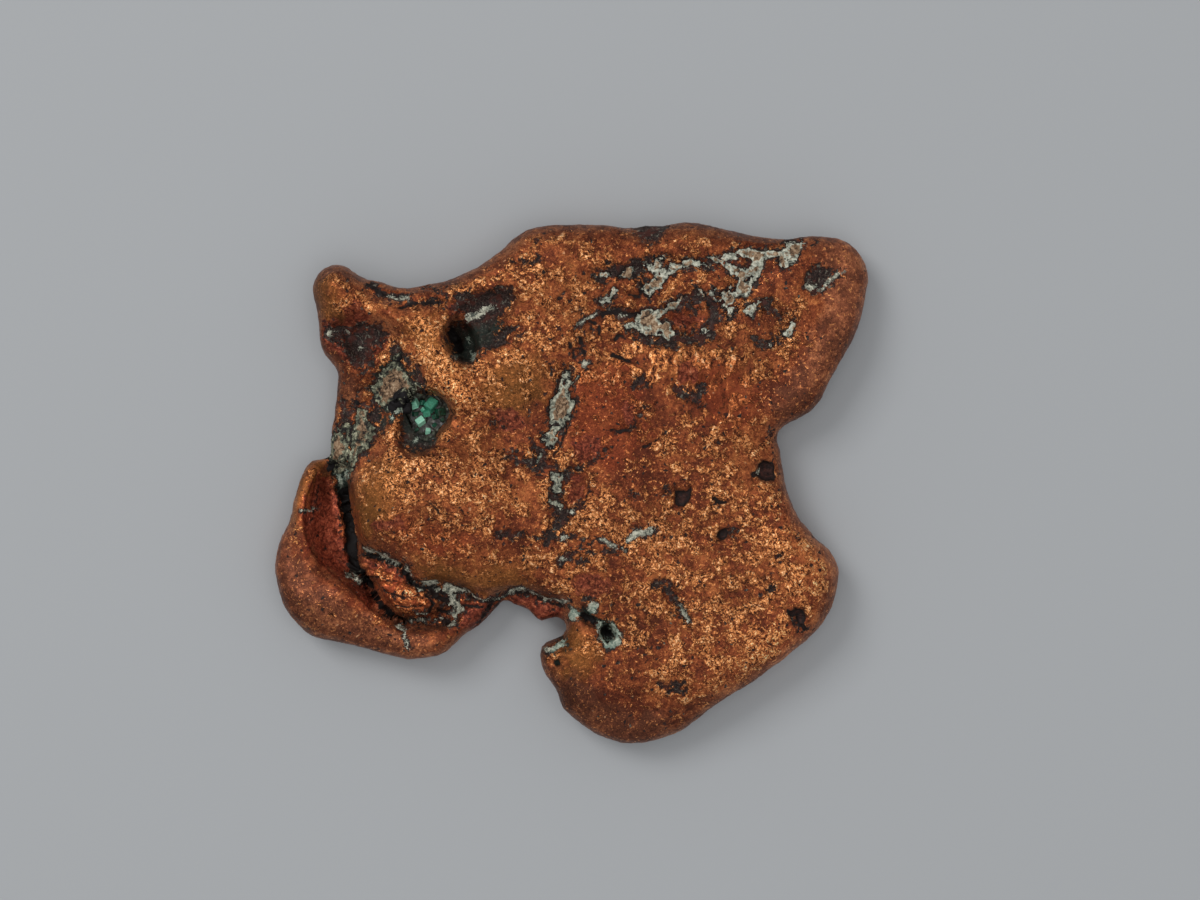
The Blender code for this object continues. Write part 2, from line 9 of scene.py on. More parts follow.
# %% Load the solids
import functools
import math

import bmesh
import bpy
import numpy as np
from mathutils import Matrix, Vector, noise


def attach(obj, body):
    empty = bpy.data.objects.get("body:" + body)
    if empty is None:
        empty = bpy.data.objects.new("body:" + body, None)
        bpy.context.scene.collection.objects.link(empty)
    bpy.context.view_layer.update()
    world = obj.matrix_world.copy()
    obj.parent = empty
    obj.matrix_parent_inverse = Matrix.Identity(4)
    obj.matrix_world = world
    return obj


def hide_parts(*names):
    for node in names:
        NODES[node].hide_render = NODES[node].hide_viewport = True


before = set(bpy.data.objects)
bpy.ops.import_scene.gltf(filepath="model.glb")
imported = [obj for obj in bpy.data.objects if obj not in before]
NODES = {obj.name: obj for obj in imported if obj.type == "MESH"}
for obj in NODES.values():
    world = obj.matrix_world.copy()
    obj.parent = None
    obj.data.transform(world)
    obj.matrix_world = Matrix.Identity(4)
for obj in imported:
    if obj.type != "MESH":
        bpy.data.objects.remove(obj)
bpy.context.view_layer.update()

MM = 0.001
print("nodes:", sorted(NODES))

# %% [markdown]
# Places on the nugget are easiest to read off a plan sheet that looks straight down on it, with x
# to the right and y down, in millimetres. One small function turns mesh points into plan places and
# one turns them back, and every list of places below is in plan millimetres.

# %% The plan sheet
PLAN_MIDDLE = (57.15, 48.33)


def on_sheet(points):
    return np.column_stack(
        [points[:, 0] / MM + PLAN_MIDDLE[0], PLAN_MIDDLE[1] - points[:, 1] / MM, points[:, 2] / MM]
    )


def off_sheet(points):
    across, down = points[:, 0] - PLAN_MIDDLE[0], PLAN_MIDDLE[1] - points[:, 1]
    return np.column_stack([across * MM, down * MM, points[:, 2] * MM])


def vertex_array(mesh, name):
    """The vertices' places or directions, one row for each vertex."""
    flat = np.empty(len(mesh.vertices) * 3, np.float32)
    mesh.vertices.foreach_get(name, flat)
    return flat.reshape(-1, 3).astype(np.float64)


def places(mesh):
    return on_sheet(vertex_array(mesh, "co"))


def directions(mesh):
    return vertex_array(mesh, "normal") * (1, -1, 1)


def put_back(mesh, points):
    mesh.vertices.foreach_set("co", off_sheet(points).astype(np.float32).ravel())
    mesh.update()


def store(mesh, name, values):
    """Keep one number for each vertex, for the materials to read."""
    mesh.attributes.new(name, "FLOAT", "POINT").data.foreach_set("value", values.astype(np.float32))


print("the sheet's middle is at", PLAN_MIDDLE)

# %% [markdown]
# The copper is one skin over the whole form. The solid has pockets where the minerals sit, with a
# thin gap round each. The form could be sculpted again without them, but it would no longer match
# the solid. Instead the copper and the fillings are swollen a little until they touch, fused by a
# voxel remesh, and shrunk again by the same amount.

# %% Tools for whole objects
def alone(thing):
    bpy.ops.object.select_all(action="DESELECT")
    thing.select_set(True)
    bpy.context.view_layer.objects.active = thing


def modify(thing, kind, **settings):
    alone(thing)
    modifier = thing.modifiers.new(kind.lower(), kind)
    for name, value in settings.items():
        setattr(modifier, name, value)
    bpy.ops.object.modifier_apply(modifier=modifier.name)


def remesh(thing, cell):
    alone(thing)
    thing.data.remesh_voxel_size = cell * MM
    bpy.ops.object.voxel_remesh()


def copies_joined(name, nodes):
    """Copies of these solids as one object with closed skins. The solids stay as they are."""
    bpy.ops.object.select_all(action="DESELECT")
    for node in nodes:
        twin = bpy.data.objects.new(name, NODES[node].data.copy())
        bpy.context.scene.collection.objects.link(twin)
        twin.select_set(True)
        bpy.context.view_layer.objects.active = twin
    if len(nodes) > 1:
        bpy.ops.object.join()
    thing = bpy.context.view_layer.objects.active
    thing.name = name
    thing.data.materials.clear()
    alone(thing)
    bpy.ops.object.mode_set(mode="EDIT")
    bpy.ops.mesh.select_all(action="SELECT")
    bpy.ops.mesh.remove_doubles(threshold=1e-6)
    bpy.ops.object.mode_set(mode="OBJECT")
    return thing


# %% Fuse the form
FILLED = ["mineral_left_crust", "mineral_upper_vein", "mineral_pool", "mineral_middle_vein"]
SWELL = 0.3  # mm, enough to close the gap round each filling
GRAIN = 0.16  # mm, the size of the fused mesh's cells

copper = copies_joined("copper", ["copper_nugget", *FILLED])
modify(copper, "DISPLACE", strength=SWELL * MM, mid_level=0)
remesh(copper, GRAIN)
modify(copper, "SMOOTH", factor=0.5, iterations=4)
modify(copper, "DISPLACE", strength=-SWELL * MM, mid_level=0)
modify(copper, "SMOOTH", factor=0.5, iterations=6)
print("fused form:", len(copper.data.vertices), "vertices")

# %% [markdown]
# Brushes. Each brush is a list of marks on the plan sheet: a path that the mark follows and half
# its width. The distance from a point to the nearest mark, less the half-width, says how far inside
# the mark the point is. A patch is a closed outline instead, for areas too wide for a stroke. A
# painted picture would do the same for the colours, but these distances also say where to carve,
# and they stay sharp however near the viewer comes.

# %% How far a point is from a path, and how far inside an outline
def from_path(points, path):
    """Distance on the sheet from each point to a path of straight steps, or to a single spot."""
    if len(path) == 1:
        path = [path[0], path[0]]
    nearest = np.full(len(points), np.inf)
    for (ax, ay), (bx, by) in zip(path, path[1:]):
        dx, dy = bx - ax, by - ay
        along = ((points[:, 0] - ax) * dx + (points[:, 1] - ay) * dy) / max(dx * dx + dy * dy, 1e-9)
        along = np.clip(along, 0, 1)
        gap = np.hypot(points[:, 0] - ax - along * dx, points[:, 1] - ay - along * dy)
        nearest = np.minimum(nearest, gap)
    return nearest


def inside_patch(points, outline):
    """Distance to the outline, positive inside it."""
    closed = [*outline, outline[0]]
    distance = from_path(points, closed)
    odd = np.zeros(len(points), bool)
    for (ax, ay), (bx, by) in zip(closed, closed[1:]):
        crosses = (ay > points[:, 1]) != (by > points[:, 1])
        reach = (bx - ax) * (points[:, 1] - ay) / (by - ay if by != ay else 1e-9) + ax
        odd ^= crosses & (points[:, 0] < reach)
    return np.where(odd, distance, -distance)


# %% How far inside a mark each point is
FAR = 3.0  # mm; nothing is measured beyond this
REACH = 1.4  # mm; no edge wanders further than this
# How far an edge wanders, over what length, and which noise it follows.
WANDERS = ((0.55, 1.0, 40), (0.34, 0.36, 42))


def inside_marks(points, strokes=(), patches=()):
    """How far inside the nearest of these marks each point is, in mm; far outside it is -FAR."""
    deepest = np.full(len(points), -FAR)
    marks = [(path, half, True) for path, half in strokes]
    marks += [(outline, 0.0, False) for outline in patches]
    for path, half, is_stroke in marks:
        corners = np.array(path)
        low, high = corners.min(axis=0) - half - FAR, corners.max(axis=0) + half + FAR
        near = np.flatnonzero(np.all((points[:, :2] > low) & (points[:, :2] < high), axis=1))
        there = points[near]
        found = half - from_path(there, path) if is_stroke else inside_patch(there, path)
        deepest[near] = np.maximum(deepest[near], found)
    return deepest


def step(values, low, high):
    """0 up to the low value, 1 from the high one, and a smooth rise between them."""
    share = np.clip((values - low) / (high - low), 0, 1)
    return share * share * (3 - 2 * share)


def lumps(points, length, seed):
    """A smooth noise either side of 0, whose lumps are about this many mm long."""
    shift = Vector((seed * 7.3, seed * 3.1, seed * 5.7))
    return np.array([noise.noise(Vector(p) / length + shift) for p in points.tolist()])


def inside_ragged(points, strokes=(), patches=(), wander=1.0):
    """The same, for marks whose edges wander sideways as natural ones do."""
    found = inside_marks(points, strokes, patches)
    near = np.flatnonzero(found > -REACH)
    moved = points[near].copy()
    for axis in (0, 1):
        for stray, length, seed in WANDERS:
            moved[:, axis] += wander * stray * lumps(points[near], length, seed + axis)
    found[near] = inside_marks(moved, strokes, patches)
    return found


def soft_spots(points, spots):
    """The sum of round spots that fade outwards, each a place, a radius and a share."""
    total = np.zeros(len(points))
    for (x, y), radius, share in spots:
        total += share * np.exp(-((points[:, 0] - x) ** 2 + (points[:, 1] - y) ** 2) / radius**2)
    return total


# %% [markdown]
# Pale mineral. A fine-grained, grey to buff mineral fills the veins. Each of the four main bodies
# is a piece of its own, and the smallest bits are only thin coats on the copper. A vein is given by
# its strokes, its patches and its pores, where copper shows through.

# %% The crust by the left edge
VEINS = {}
VEINS["mineral_left_crust"] = (
    [([(39.2, 40.5), (39.0, 40.9)], 0.2)],
    [
        [(39.7, 35.6), (40.2, 36.2), (40.5, 37.1), (41.1, 37.6), (41.4, 38.4), (41.9, 38.8),
         (41.8, 39.3), (41.2, 39.6), (40.4, 39.5), (40.2, 40.3), (39.5, 40.2), (38.8, 40.6),
         (38.2, 40.8), (37.7, 40.4), (37.5, 39.6), (37.0, 38.6), (37.6, 38.2), (38.2, 37.5),
         (38.6, 36.8), (39.3, 36.3)],
        [(33.1, 43.4), (34.0, 42.9), (34.8, 42.3), (35.2, 42.7), (35.6, 42.2), (35.5, 41.5),
         (35.9, 40.9), (36.7, 41.1), (37.0, 41.9), (37.3, 42.5), (37.7, 43.2), (37.3, 43.9),
         (37.1, 44.6), (36.4, 45.0), (35.9, 45.7), (35.6, 46.6), (35.2, 47.2), (35.0, 48.0),
         (34.7, 47.2), (34.2, 47.0), (34.0, 47.6), (33.5, 47.4), (33.1, 46.6), (32.8, 45.8),
         (32.7, 44.5)],
    ],
    [([(35.35, 42.9), (35.2, 44.0), (35.0, 45.2), (34.6, 46.4)], 0.08), ([(34.45, 43.4)], 0.2)],
)
print("left crust:", len(VEINS["mineral_left_crust"][1]), "patches")

# %% The vein along the upper edge
VEINS["mineral_upper_vein"] = (
    [
        ([(60.2, 27.6), (61.0, 27.75)], 0.23), ([(59.5, 28.3)], 0.15),
        ([(60.2, 30.3), (60.9, 30.1), (61.5, 29.2)], 0.2), ([(72.9, 31.3)], 0.48),
        ([(69.8, 29.1), (70.3, 29.6)], 0.15), ([(71.4, 29.2)], 0.26), ([(70.3, 33.2)], 0.34),
    ],
    [
        [(61.8, 27.7), (62.2, 27.3), (62.8, 27.0), (63.4, 27.0), (63.7, 27.3), (63.2, 27.7),
         (62.9, 28.1), (62.6, 27.8)],
        [(64.4, 26.7), (64.8, 26.4), (65.1, 26.8), (65.3, 26.2), (65.8, 26.3), (66.0, 26.8),
         (66.6, 27.2), (67.0, 26.5), (67.8, 26.8), (68.2, 26.3), (69.0, 26.1), (69.8, 26.3),
         (70.8, 26.9), (70.2, 27.0), (69.2, 26.8), (68.2, 26.9), (67.3, 27.4), (66.8, 27.7),
         (66.5, 28.2), (66.2, 29.0), (65.5, 29.0), (65.1, 29.6), (64.8, 30.0), (64.4, 29.5),
         (64.0, 28.9), (64.5, 28.5), (64.9, 28.8), (65.1, 28.3), (65.6, 27.9), (65.0, 27.4),
         (64.5, 27.0)],
        [(70.7, 26.0), (72.0, 26.0), (72.4, 25.5), (73.1, 25.5), (73.8, 26.0), (72.6, 26.3),
         (71.6, 26.6), (71.2, 26.3)],
        [(73.4, 25.4), (73.8, 25.0), (74.6, 25.0), (75.8, 25.1), (77.0, 25.4), (78.0, 25.2),
         (78.6, 24.7), (78.3, 24.3), (79.4, 24.1), (80.2, 24.3), (79.9, 25.2), (79.6, 26.1),
         (78.9, 26.7), (78.1, 27.0), (77.7, 26.6), (77.6, 26.0), (77.0, 25.9), (76.4, 26.3),
         (76.1, 27.1), (75.7, 27.9), (75.1, 28.8), (74.9, 29.5), (74.4, 29.9), (73.9, 29.7),
         (73.3, 30.0), (73.2, 30.4), (72.6, 30.8), (71.9, 31.0), (72.2, 30.3), (72.0, 29.6),
         (72.7, 29.0), (73.5, 28.9), (73.9, 28.3), (73.6, 27.8), (72.8, 27.4), (72.0, 26.6),
         (72.9, 26.5), (73.8, 26.9), (74.9, 26.9), (75.2, 26.3), (74.4, 25.9)],
        [(74.3, 31.2), (74.7, 30.7), (75.5, 30.4), (75.6, 30.0), (76.1, 30.4), (75.4, 30.7),
         (75.2, 31.3), (75.0, 31.8), (74.5, 31.6)],
        [(77.9, 33.3), (78.6, 32.9), (78.9, 32.5), (79.4, 32.6), (79.1, 33.2), (78.7, 33.8),
         (78.3, 33.5)],
    ],
    [
        ([(74.5, 28.2), (74.9, 27.9)], 0.16), ([(72.9, 29.4), (73.5, 29.1)], 0.12),
        ([(78.5, 26.1)], 0.12), ([(65.8, 27.5)], 0.12), ([(72.9, 31.3)], 0.1),
    ],
)
print("upper vein:", len(VEINS["mineral_upper_vein"][1]), "patches")

# %% The pool below it, and the vein down the middle
VEINS["mineral_pool"] = (
    [([(62.7, 32.7), (63.7, 32.7)], 0.22)],
    [
        [(63.8, 31.4), (64.6, 31.0), (65.6, 31.1), (66.4, 30.9), (66.9, 30.4), (67.6, 30.1),
         (68.3, 29.8), (68.0, 30.4), (67.4, 30.9), (66.4, 31.3), (66.0, 31.8), (65.6, 32.0),
         (66.1, 32.4), (66.5, 32.2), (67.0, 32.7), (67.5, 33.4), (66.9, 33.8), (66.7, 34.3),
         (66.2, 33.9), (65.4, 33.5), (64.6, 33.8), (64.2, 33.3), (63.6, 32.9), (63.5, 32.2)],
    ],
    [([(66.0, 33.3)], 0.12), ([(64.9, 33.1)], 0.1)],
)
VEINS["mineral_middle_vein"] = (
    [
        ([(54.1, 45.4), (53.7, 46.3)], 0.2), ([(55.3, 50.3), (56.1, 50.5)], 0.24),
        ([(57.4, 38.1), (57.9, 37.8)], 0.12),
    ],
    [
        [(56.5, 37.0), (57.0, 36.9), (57.0, 37.8), (57.3, 38.5), (56.9, 38.9), (56.9, 39.9),
         (57.8, 40.1), (57.5, 40.6), (57.1, 41.2), (57.0, 41.9), (56.4, 42.6), (55.8, 43.4),
         (55.5, 44.1), (55.3, 44.8), (54.8, 44.6), (54.3, 43.5), (54.9, 43.2), (55.0, 42.4),
         (54.9, 41.4), (55.0, 40.4), (55.7, 39.6), (56.0, 38.4), (56.2, 37.6)],
        [(55.2, 47.3), (56.9, 47.4), (56.3, 48.1), (56.1, 48.8), (56.4, 49.4), (55.7, 49.3),
         (55.1, 49.2), (55.3, 48.4)],
    ],
    [
        ([(56.5, 38.3)], 0.16), ([(54.7, 43.6)], 0.1), ([(55.05, 44.5)], 0.08),
        ([(55.2, 42.6), (55.9, 42.3)], 0.1),
    ],
)
print("marks in the veins:", sum(len(v[0]) + len(v[1]) for v in VEINS.values()))

# %% Thin coats of the same mineral
# On the open face and by the left edge, round the veins, the hole and the small pits.
COATS = [
    ([(62.95, 53.7), (63.8, 53.2), (65.1, 52.95)], 0.34),
    ([(60.2, 53.8), (61.2, 54.5), (62.4, 54.9)], 0.2), ([(56.4, 53.6), (56.8, 53.7)], 0.24),
    ([(56.4, 55.8)], 0.38), ([(58.5, 36.5)], 0.3), ([(57.4, 51.1)], 0.25),
    ([(58.0, 32.6), (58.8, 32.0), (59.6, 31.5)], 0.16), ([(80.4, 29.0), (80.9, 28.8)], 0.22),
    ([(76.8, 34.4)], 0.16), ([(66.3, 25.9)], 0.14),
    ([(81.3, 28.6), (81.6, 29.3), (82.2, 29.1), (82.5, 28.5), (83.0, 28.2), (83.3, 27.6),
      (84.1, 27.2)], 0.17),
    ([(61.9, 31.4), (62.4, 31.7)], 0.12), ([(36.0, 34.9), (36.4, 34.7)], 0.2),
    ([(46.6, 33.6), (47.2, 34.6)], 0.1), ([(47.0, 35.4)], 0.16),
    ([(39.2, 40.9), (40.1, 40.9), (40.9, 40.3)], 0.3), ([(39.4, 41.8)], 0.2),
    ([(47.0, 31.9), (48.1, 31.5), (48.6, 30.9), (49.6, 30.8)], 0.3), ([(45.7, 35.7)], 0.22),
    ([(47.4, 35.8)], 0.38), ([(33.2, 33.3)], 0.3), ([(34.9, 33.2)], 0.22),
    ([(39.0, 29.9), (41.0, 29.9)], 0.1), ([(42.5, 42.9), (43.7, 42.3), (44.8, 41.5)], 0.1),
    ([(41.8, 44.1)], 0.25), ([(75.6, 47.1)], 0.22),
]
# In the seams of the fold, and round the small holes by the ledge.
COATS += [
    ([(54.9, 64.9), (55.6, 64.8), (56.3, 64.2)], 0.28),
    ([(60.0, 62.4), (60.1, 63.5), (60.9, 64.3), (61.7, 64.2), (61.8, 63.2), (61.0, 62.2)], 0.28),
    ([(57.4, 61.3)], 0.55), ([(59.3, 60.5)], 0.5), ([(58.3, 61.2), (59.9, 62.2)], 0.2),
    ([(54.5, 60.1), (55.3, 59.8), (56.9, 60.1)], 0.12), ([(51.2, 59.2), (52.3, 58.6)], 0.18),
    ([(36.4, 54.8), (38.0, 55.3), (39.8, 56.3)], 0.15), ([(38.4, 55.7), (39.6, 56.2)], 0.38),
    ([(40.7, 56.5), (41.2, 57.7), (41.7, 58.8)], 0.12), ([(35.6, 57.3)], 0.4),
    ([(34.6, 57.6), (36.2, 58.2)], 0.14), ([(42.0, 58.8), (42.6, 58.2), (43.6, 58.1)], 0.22),
    ([(44.6, 58.5), (45.4, 58.9), (46.0, 58.9)], 0.24), ([(43.2, 58.6), (43.8, 59.0)], 0.24),
    ([(44.6, 58.9), (45.3, 59.6), (45.0, 60.2)], 0.26),
    ([(45.5, 60.5), (46.1, 61.0), (45.4, 61.5)], 0.3), ([(41.8, 61.4), (42.6, 61.2)], 0.13),
    ([(41.0, 62.1), (42.6, 62.15), (44.2, 61.95)], 0.12), ([(45.2, 62.4)], 0.26),
    ([(39.8, 62.2), (40.6, 63.2), (41.1, 64.6)], 0.13), ([(30.4, 51.1), (31.7, 50.7)], 0.12),
    ([(68.0, 60.6), (68.6, 61.9)], 0.2),
    ([(46.4, 58.9), (48.6, 59.9), (50.2, 59.8), (51.4, 59.1), (52.6, 58.8), (54.2, 59.6),
      (56.2, 60.2)], 0.03),
    ([(33.5, 46.6), (33.8, 47.8), (34.0, 48.8)], 0.2), ([(34.7, 46.8), (34.6, 47.9)], 0.13),
    ([(34.3, 49.6), (34.5, 50.4)], 0.1),
]
print(len(COATS), "coats")

# %% [markdown]
# Tarnish. Hollows that wear never reaches stay purple-black. These marks are the dark spots, cracks
# and rings that show from a step away. Noise alone would put them anywhere, so each is placed, and
# the grain of the material adds the specks too small to place.

# %% Dark strokes
# The seam between the fold's lip and the wedge.
SEAM = [
    (35.4, 56.7), (36.2, 57.5), (37.0, 58.6), (37.5, 59.6), (38.2, 60.6), (39.1, 61.5), (40.2, 62.0),
]
# Spots, seams and rings on the open face.
DARK_STROKES = [
    ([(79.7, 53.7)], 0.25), ([(77.8, 55.6)], 0.3), ([(76.9, 57.5)], 0.22), ([(76.8, 58.9)], 0.3),
    ([(79.6, 61.3), (80.1, 62.4)], 0.5), ([(77.2, 64.3)], 0.2),
    ([(65.8, 68.3), (66.8, 68.0), (67.9, 68.3)], 0.4), ([(66.8, 69.0), (68.2, 68.8)], 0.3),
    ([(67.4, 68.2)], 0.15), ([(65.6, 58.3), (66.5, 58.4)], 0.45),
    ([(66.6, 58.8), (67.7, 60.3), (68.5, 61.9)], 0.36), ([(77.0, 43.3)], 0.35),
    ([(69.0, 41.2)], 0.2), ([(65.2, 40.5)], 0.2), ([(55.0, 36.6), (55.1, 37.5)], 0.15),
    ([(53.8, 24.3)], 0.18), ([(54.1, 25.7)], 0.26),
    ([(51.3, 26.4), (52.4, 26.25), (53.9, 25.9)], 0.2), ([(56.0, 29.6)], 0.3),
    ([(57.2, 30.1)], 0.26), ([(81.5, 24.5)], 0.2), ([(58.1, 31.0)], 0.22), ([(57.9, 32.9)], 0.3),
    ([(59.4, 33.1)], 0.25), ([(56.0, 33.3)], 0.2), ([(57.9, 34.6)], 0.28),
    ([(60.0, 30.5), (61.5, 31.5), (62.8, 31.8)], 0.5),
    ([(64.2, 33.9), (66.0, 34.5), (68.0, 34.2), (70.3, 34.3)], 0.45),
    ([(67.0, 30.9), (68.9, 30.9), (69.6, 31.2)], 0.36),
    ([(69.4, 29.7), (71.2, 29.9), (71.7, 31.4), (70.7, 33.3)], 0.5), ([(74.8, 26.5)], 0.45),
    ([(76.4, 30.4), (77.6, 31.6)], 0.5), ([(75.2, 33.8), (76.2, 34.5), (77.4, 34.2)], 0.4),
    ([(53.4, 44.6), (54.4, 45.8), (55.2, 46.8)], 0.45),
    ([(55.4, 49.6), (56.6, 51.4), (55.4, 53.0), (54.8, 53.8)], 0.62),
    ([(53.8, 53.6), (55.6, 53.9), (57.4, 53.6)], 0.2),
    ([(57.4, 53.6), (59.0, 54.2), (60.6, 54.0)], 0.16),
    ([(56.9, 55.1), (58.4, 54.8), (60.0, 55.2), (61.6, 55.2)], 0.16),
    ([(57.8, 56.2), (59.0, 56.0)], 0.14), ([(49.4, 42.4), (50.4, 42.6)], 0.24),
    ([(49.0, 41.2), (49.9, 41.4)], 0.14), ([(72.0, 53.3), (73.4, 53.2)], 0.2),
    ([(58.9, 48.6), (58.7, 49.8), (58.1, 50.9)], 0.16),
    ([(56.9, 55.8), (58.0, 56.0), (59.3, 54.9)], 0.16), ([(64.4, 26.2), (66.8, 26.0)], 0.3),
    ([(56.2, 56.2), (57.0, 55.4)], 0.45), ([(49.9, 53.4), (52.6, 53.5)], 0.36),
    ([(51.0, 45.5), (53.0, 46.2), (54.6, 47.0)], 0.4),
    ([(60.6, 45.2), (59.4, 46.2), (58.2, 46.8), (56.6, 47.1)], 0.2),
    ([(61.6, 43.4), (62.6, 43.0), (63.4, 42.2), (64.2, 41.2)], 0.14),
    ([(66.3, 49.6), (67.0, 48.6)], 0.12), ([(71.2, 49.6), (71.9, 50.3)], 0.12),
    ([(63.4, 48.9), (63.2, 49.8)], 0.16),
    ([(57.4, 35.6), (58.0, 35.1), (58.5, 35.7), (58.0, 36.3)], 0.16),
    ([(62.0, 42.8), (62.8, 43.4), (63.4, 42.8)], 0.14), ([(50.0, 59.25), (51.4, 58.8)], 0.15),
    ([(49.3, 60.3)], 0.3), ([(55.7, 66.1)], 0.2), ([(56.0, 64.8)], 0.4),
    ([(60.6, 62.8), (60.9, 63.5)], 0.6), ([(58.2, 61.3), (59.8, 62.3)], 0.32),
    ([(58.9, 59.9)], 0.28), ([(49.6, 60.1), (48.6, 61.6), (47.4, 62.6)], 0.14),
    ([(49.8, 60.0), (51.4, 59.2), (54.0, 60.0), (56.2, 60.6)], 0.14),
    ([(54.6, 63.4), (56.2, 63.6)], 0.3),
]
# Round the hollows by the left edge and in the fold.
DARK_STROKES += [
    ([(39.6, 34.8), (40.7, 35.8), (41.6, 36.8), (42.3, 38.4), (42.5, 40.2)], 0.4),
    ([(37.6, 41.4), (38.3, 42.4), (37.8, 43.4)], 0.6),
    ([(33.7, 42.3), (34.6, 41.6), (35.0, 40.8)], 0.45), ([(36.2, 38.8), (36.2, 39.7)], 0.22),
    ([(36.4, 35.2), (37.0, 36.6)], 0.4), ([(35.5, 35.4), (35.9, 36.8)], 0.4),
    ([(34.3, 40.4), (34.6, 42.2)], 0.42), ([(35.8, 40.3), (37.0, 40.6)], 0.26),
    ([(38.3, 41.0), (38.1, 43.0), (36.9, 45.3)], 0.2),
    ([(37.2, 28.7), (38.4, 29.6), (39.8, 29.9), (41.1, 29.4)], 0.36),
    ([(33.9, 46.6), (34.0, 49.0), (34.5, 51.2), (34.8, 53.6), (35.2, 56.8)], 0.62), (SEAM, 0.2),
    ([(40.3, 62.0), (43.0, 62.2), (45.5, 62.5)], 0.22),
    ([(36.6, 55.3), (38.4, 56.0), (40.0, 56.6)], 0.1), ([(40.2, 56.8), (41.6, 58.6)], 0.22),
    ([(42.8, 59.4), (44.2, 59.2), (45.6, 60.6)], 0.34), ([(35.0, 28.9)], 0.16),
    ([(42.4, 28.9), (44.6, 29.2)], 0.12), ([(41.0, 30.6), (43.0, 30.3), (45.0, 30.4)], 0.16),
    ([(38.0, 58.7), (40.0, 59.5), (42.4, 59.5), (43.6, 59.9)], 0.02),
    ([(44.0, 60.6), (45.4, 59.6), (47.0, 59.6)], 0.3),
    ([(44.6, 58.6), (46.6, 59.4), (49.4, 60.0)], 0.16),
]
print(len(DARK_STROKES), "dark strokes")

# %% Dark patches
# By the veins and the edges, then beside the hole, in the crystals' hollow and behind the knob.
DARK_PATCHES = [
    [(67.2, 38.3), (67.5, 39.5), (68.6, 40.0), (69.9, 40.6), (70.3, 39.9), (70.5, 38.0),
     (69.8, 38.2), (69.4, 39.0), (68.4, 39.1), (67.8, 38.5)],
    [(63.9, 37.5), (64.9, 38.7), (63.2, 39.0), (63.5, 38.3)],
    [(67.0, 34.5), (66.9, 33.9), (67.6, 33.5), (67.9, 33.0), (69.0, 33.4), (70.0, 33.0),
     (70.6, 32.5), (71.1, 33.4), (70.8, 34.5), (70.0, 34.6), (69.0, 34.1), (68.0, 34.3)],
    [(68.2, 30.0), (69.0, 29.2), (70.2, 29.6), (71.9, 29.7), (71.8, 30.6), (71.2, 32.0),
     (70.4, 32.4), (70.7, 31.0), (70.0, 30.2), (69.0, 30.0), (68.6, 30.6), (69.6, 31.1),
     (68.8, 31.3), (68.1, 31.0)],
    [(62.8, 22.0), (64.6, 21.8), (67.0, 22.2), (66.6, 23.4), (66.0, 24.0), (64.9, 24.7),
     (64.0, 24.2), (63.4, 23.3)],
    [(59.3, 27.6), (60.2, 26.8), (61.5, 26.6), (63.0, 26.2), (64.6, 26.0), (64.7, 27.4),
     (63.6, 28.2), (62.2, 28.0), (60.8, 28.4), (59.6, 28.9)],
    [(80.3, 27.3), (81.6, 26.6), (83.0, 27.0), (82.8, 28.2), (81.8, 29.6), (80.6, 29.6),
     (80.2, 28.4)],
    [(45.2, 30.0), (46.0, 29.6), (48.0, 29.2), (50.0, 28.9), (51.4, 28.8), (51.7, 29.8),
     (51.0, 31.0), (50.6, 31.8), (49.6, 33.1), (51.4, 32.6), (52.1, 32.6), (51.6, 33.7),
     (50.6, 34.3), (49.2, 34.9), (48.0, 35.6), (47.4, 36.8), (46.0, 36.6), (45.3, 35.4),
     (44.8, 33.8), (44.9, 32.8), (45.6, 32.3), (46.4, 32.2), (46.5, 31.6), (45.6, 31.0)],
    [(40.3, 40.4), (41.0, 39.4), (43.0, 39.6), (44.2, 39.8), (44.9, 40.7), (44.9, 41.8),
     (44.2, 42.6), (43.8, 43.2), (43.9, 44.0), (42.8, 45.2), (41.4, 45.1), (40.5, 44.6),
     (40.2, 42.5)],
    [(32.4, 32.7), (33.4, 32.4), (34.4, 32.9), (35.4, 33.1), (35.0, 33.7), (34.2, 34.0),
     (33.8, 34.8), (32.9, 34.0)],
    [(34.4, 33.6), (35.4, 32.8), (37.0, 32.5), (38.6, 32.6), (38.9, 33.6), (38.2, 34.7),
     (37.3, 35.2), (37.1, 36.6), (36.4, 37.4), (35.5, 36.8), (35.0, 35.6), (34.2, 34.6)],
]
print(len(DARK_PATCHES), "dark patches")

# %% [markdown]
# Oxides. A thin film of red oxide makes the metal ruddy, and a thicker one is chocolate brown and
# smooth. Neither stands up from the metal, so they are colour alone.

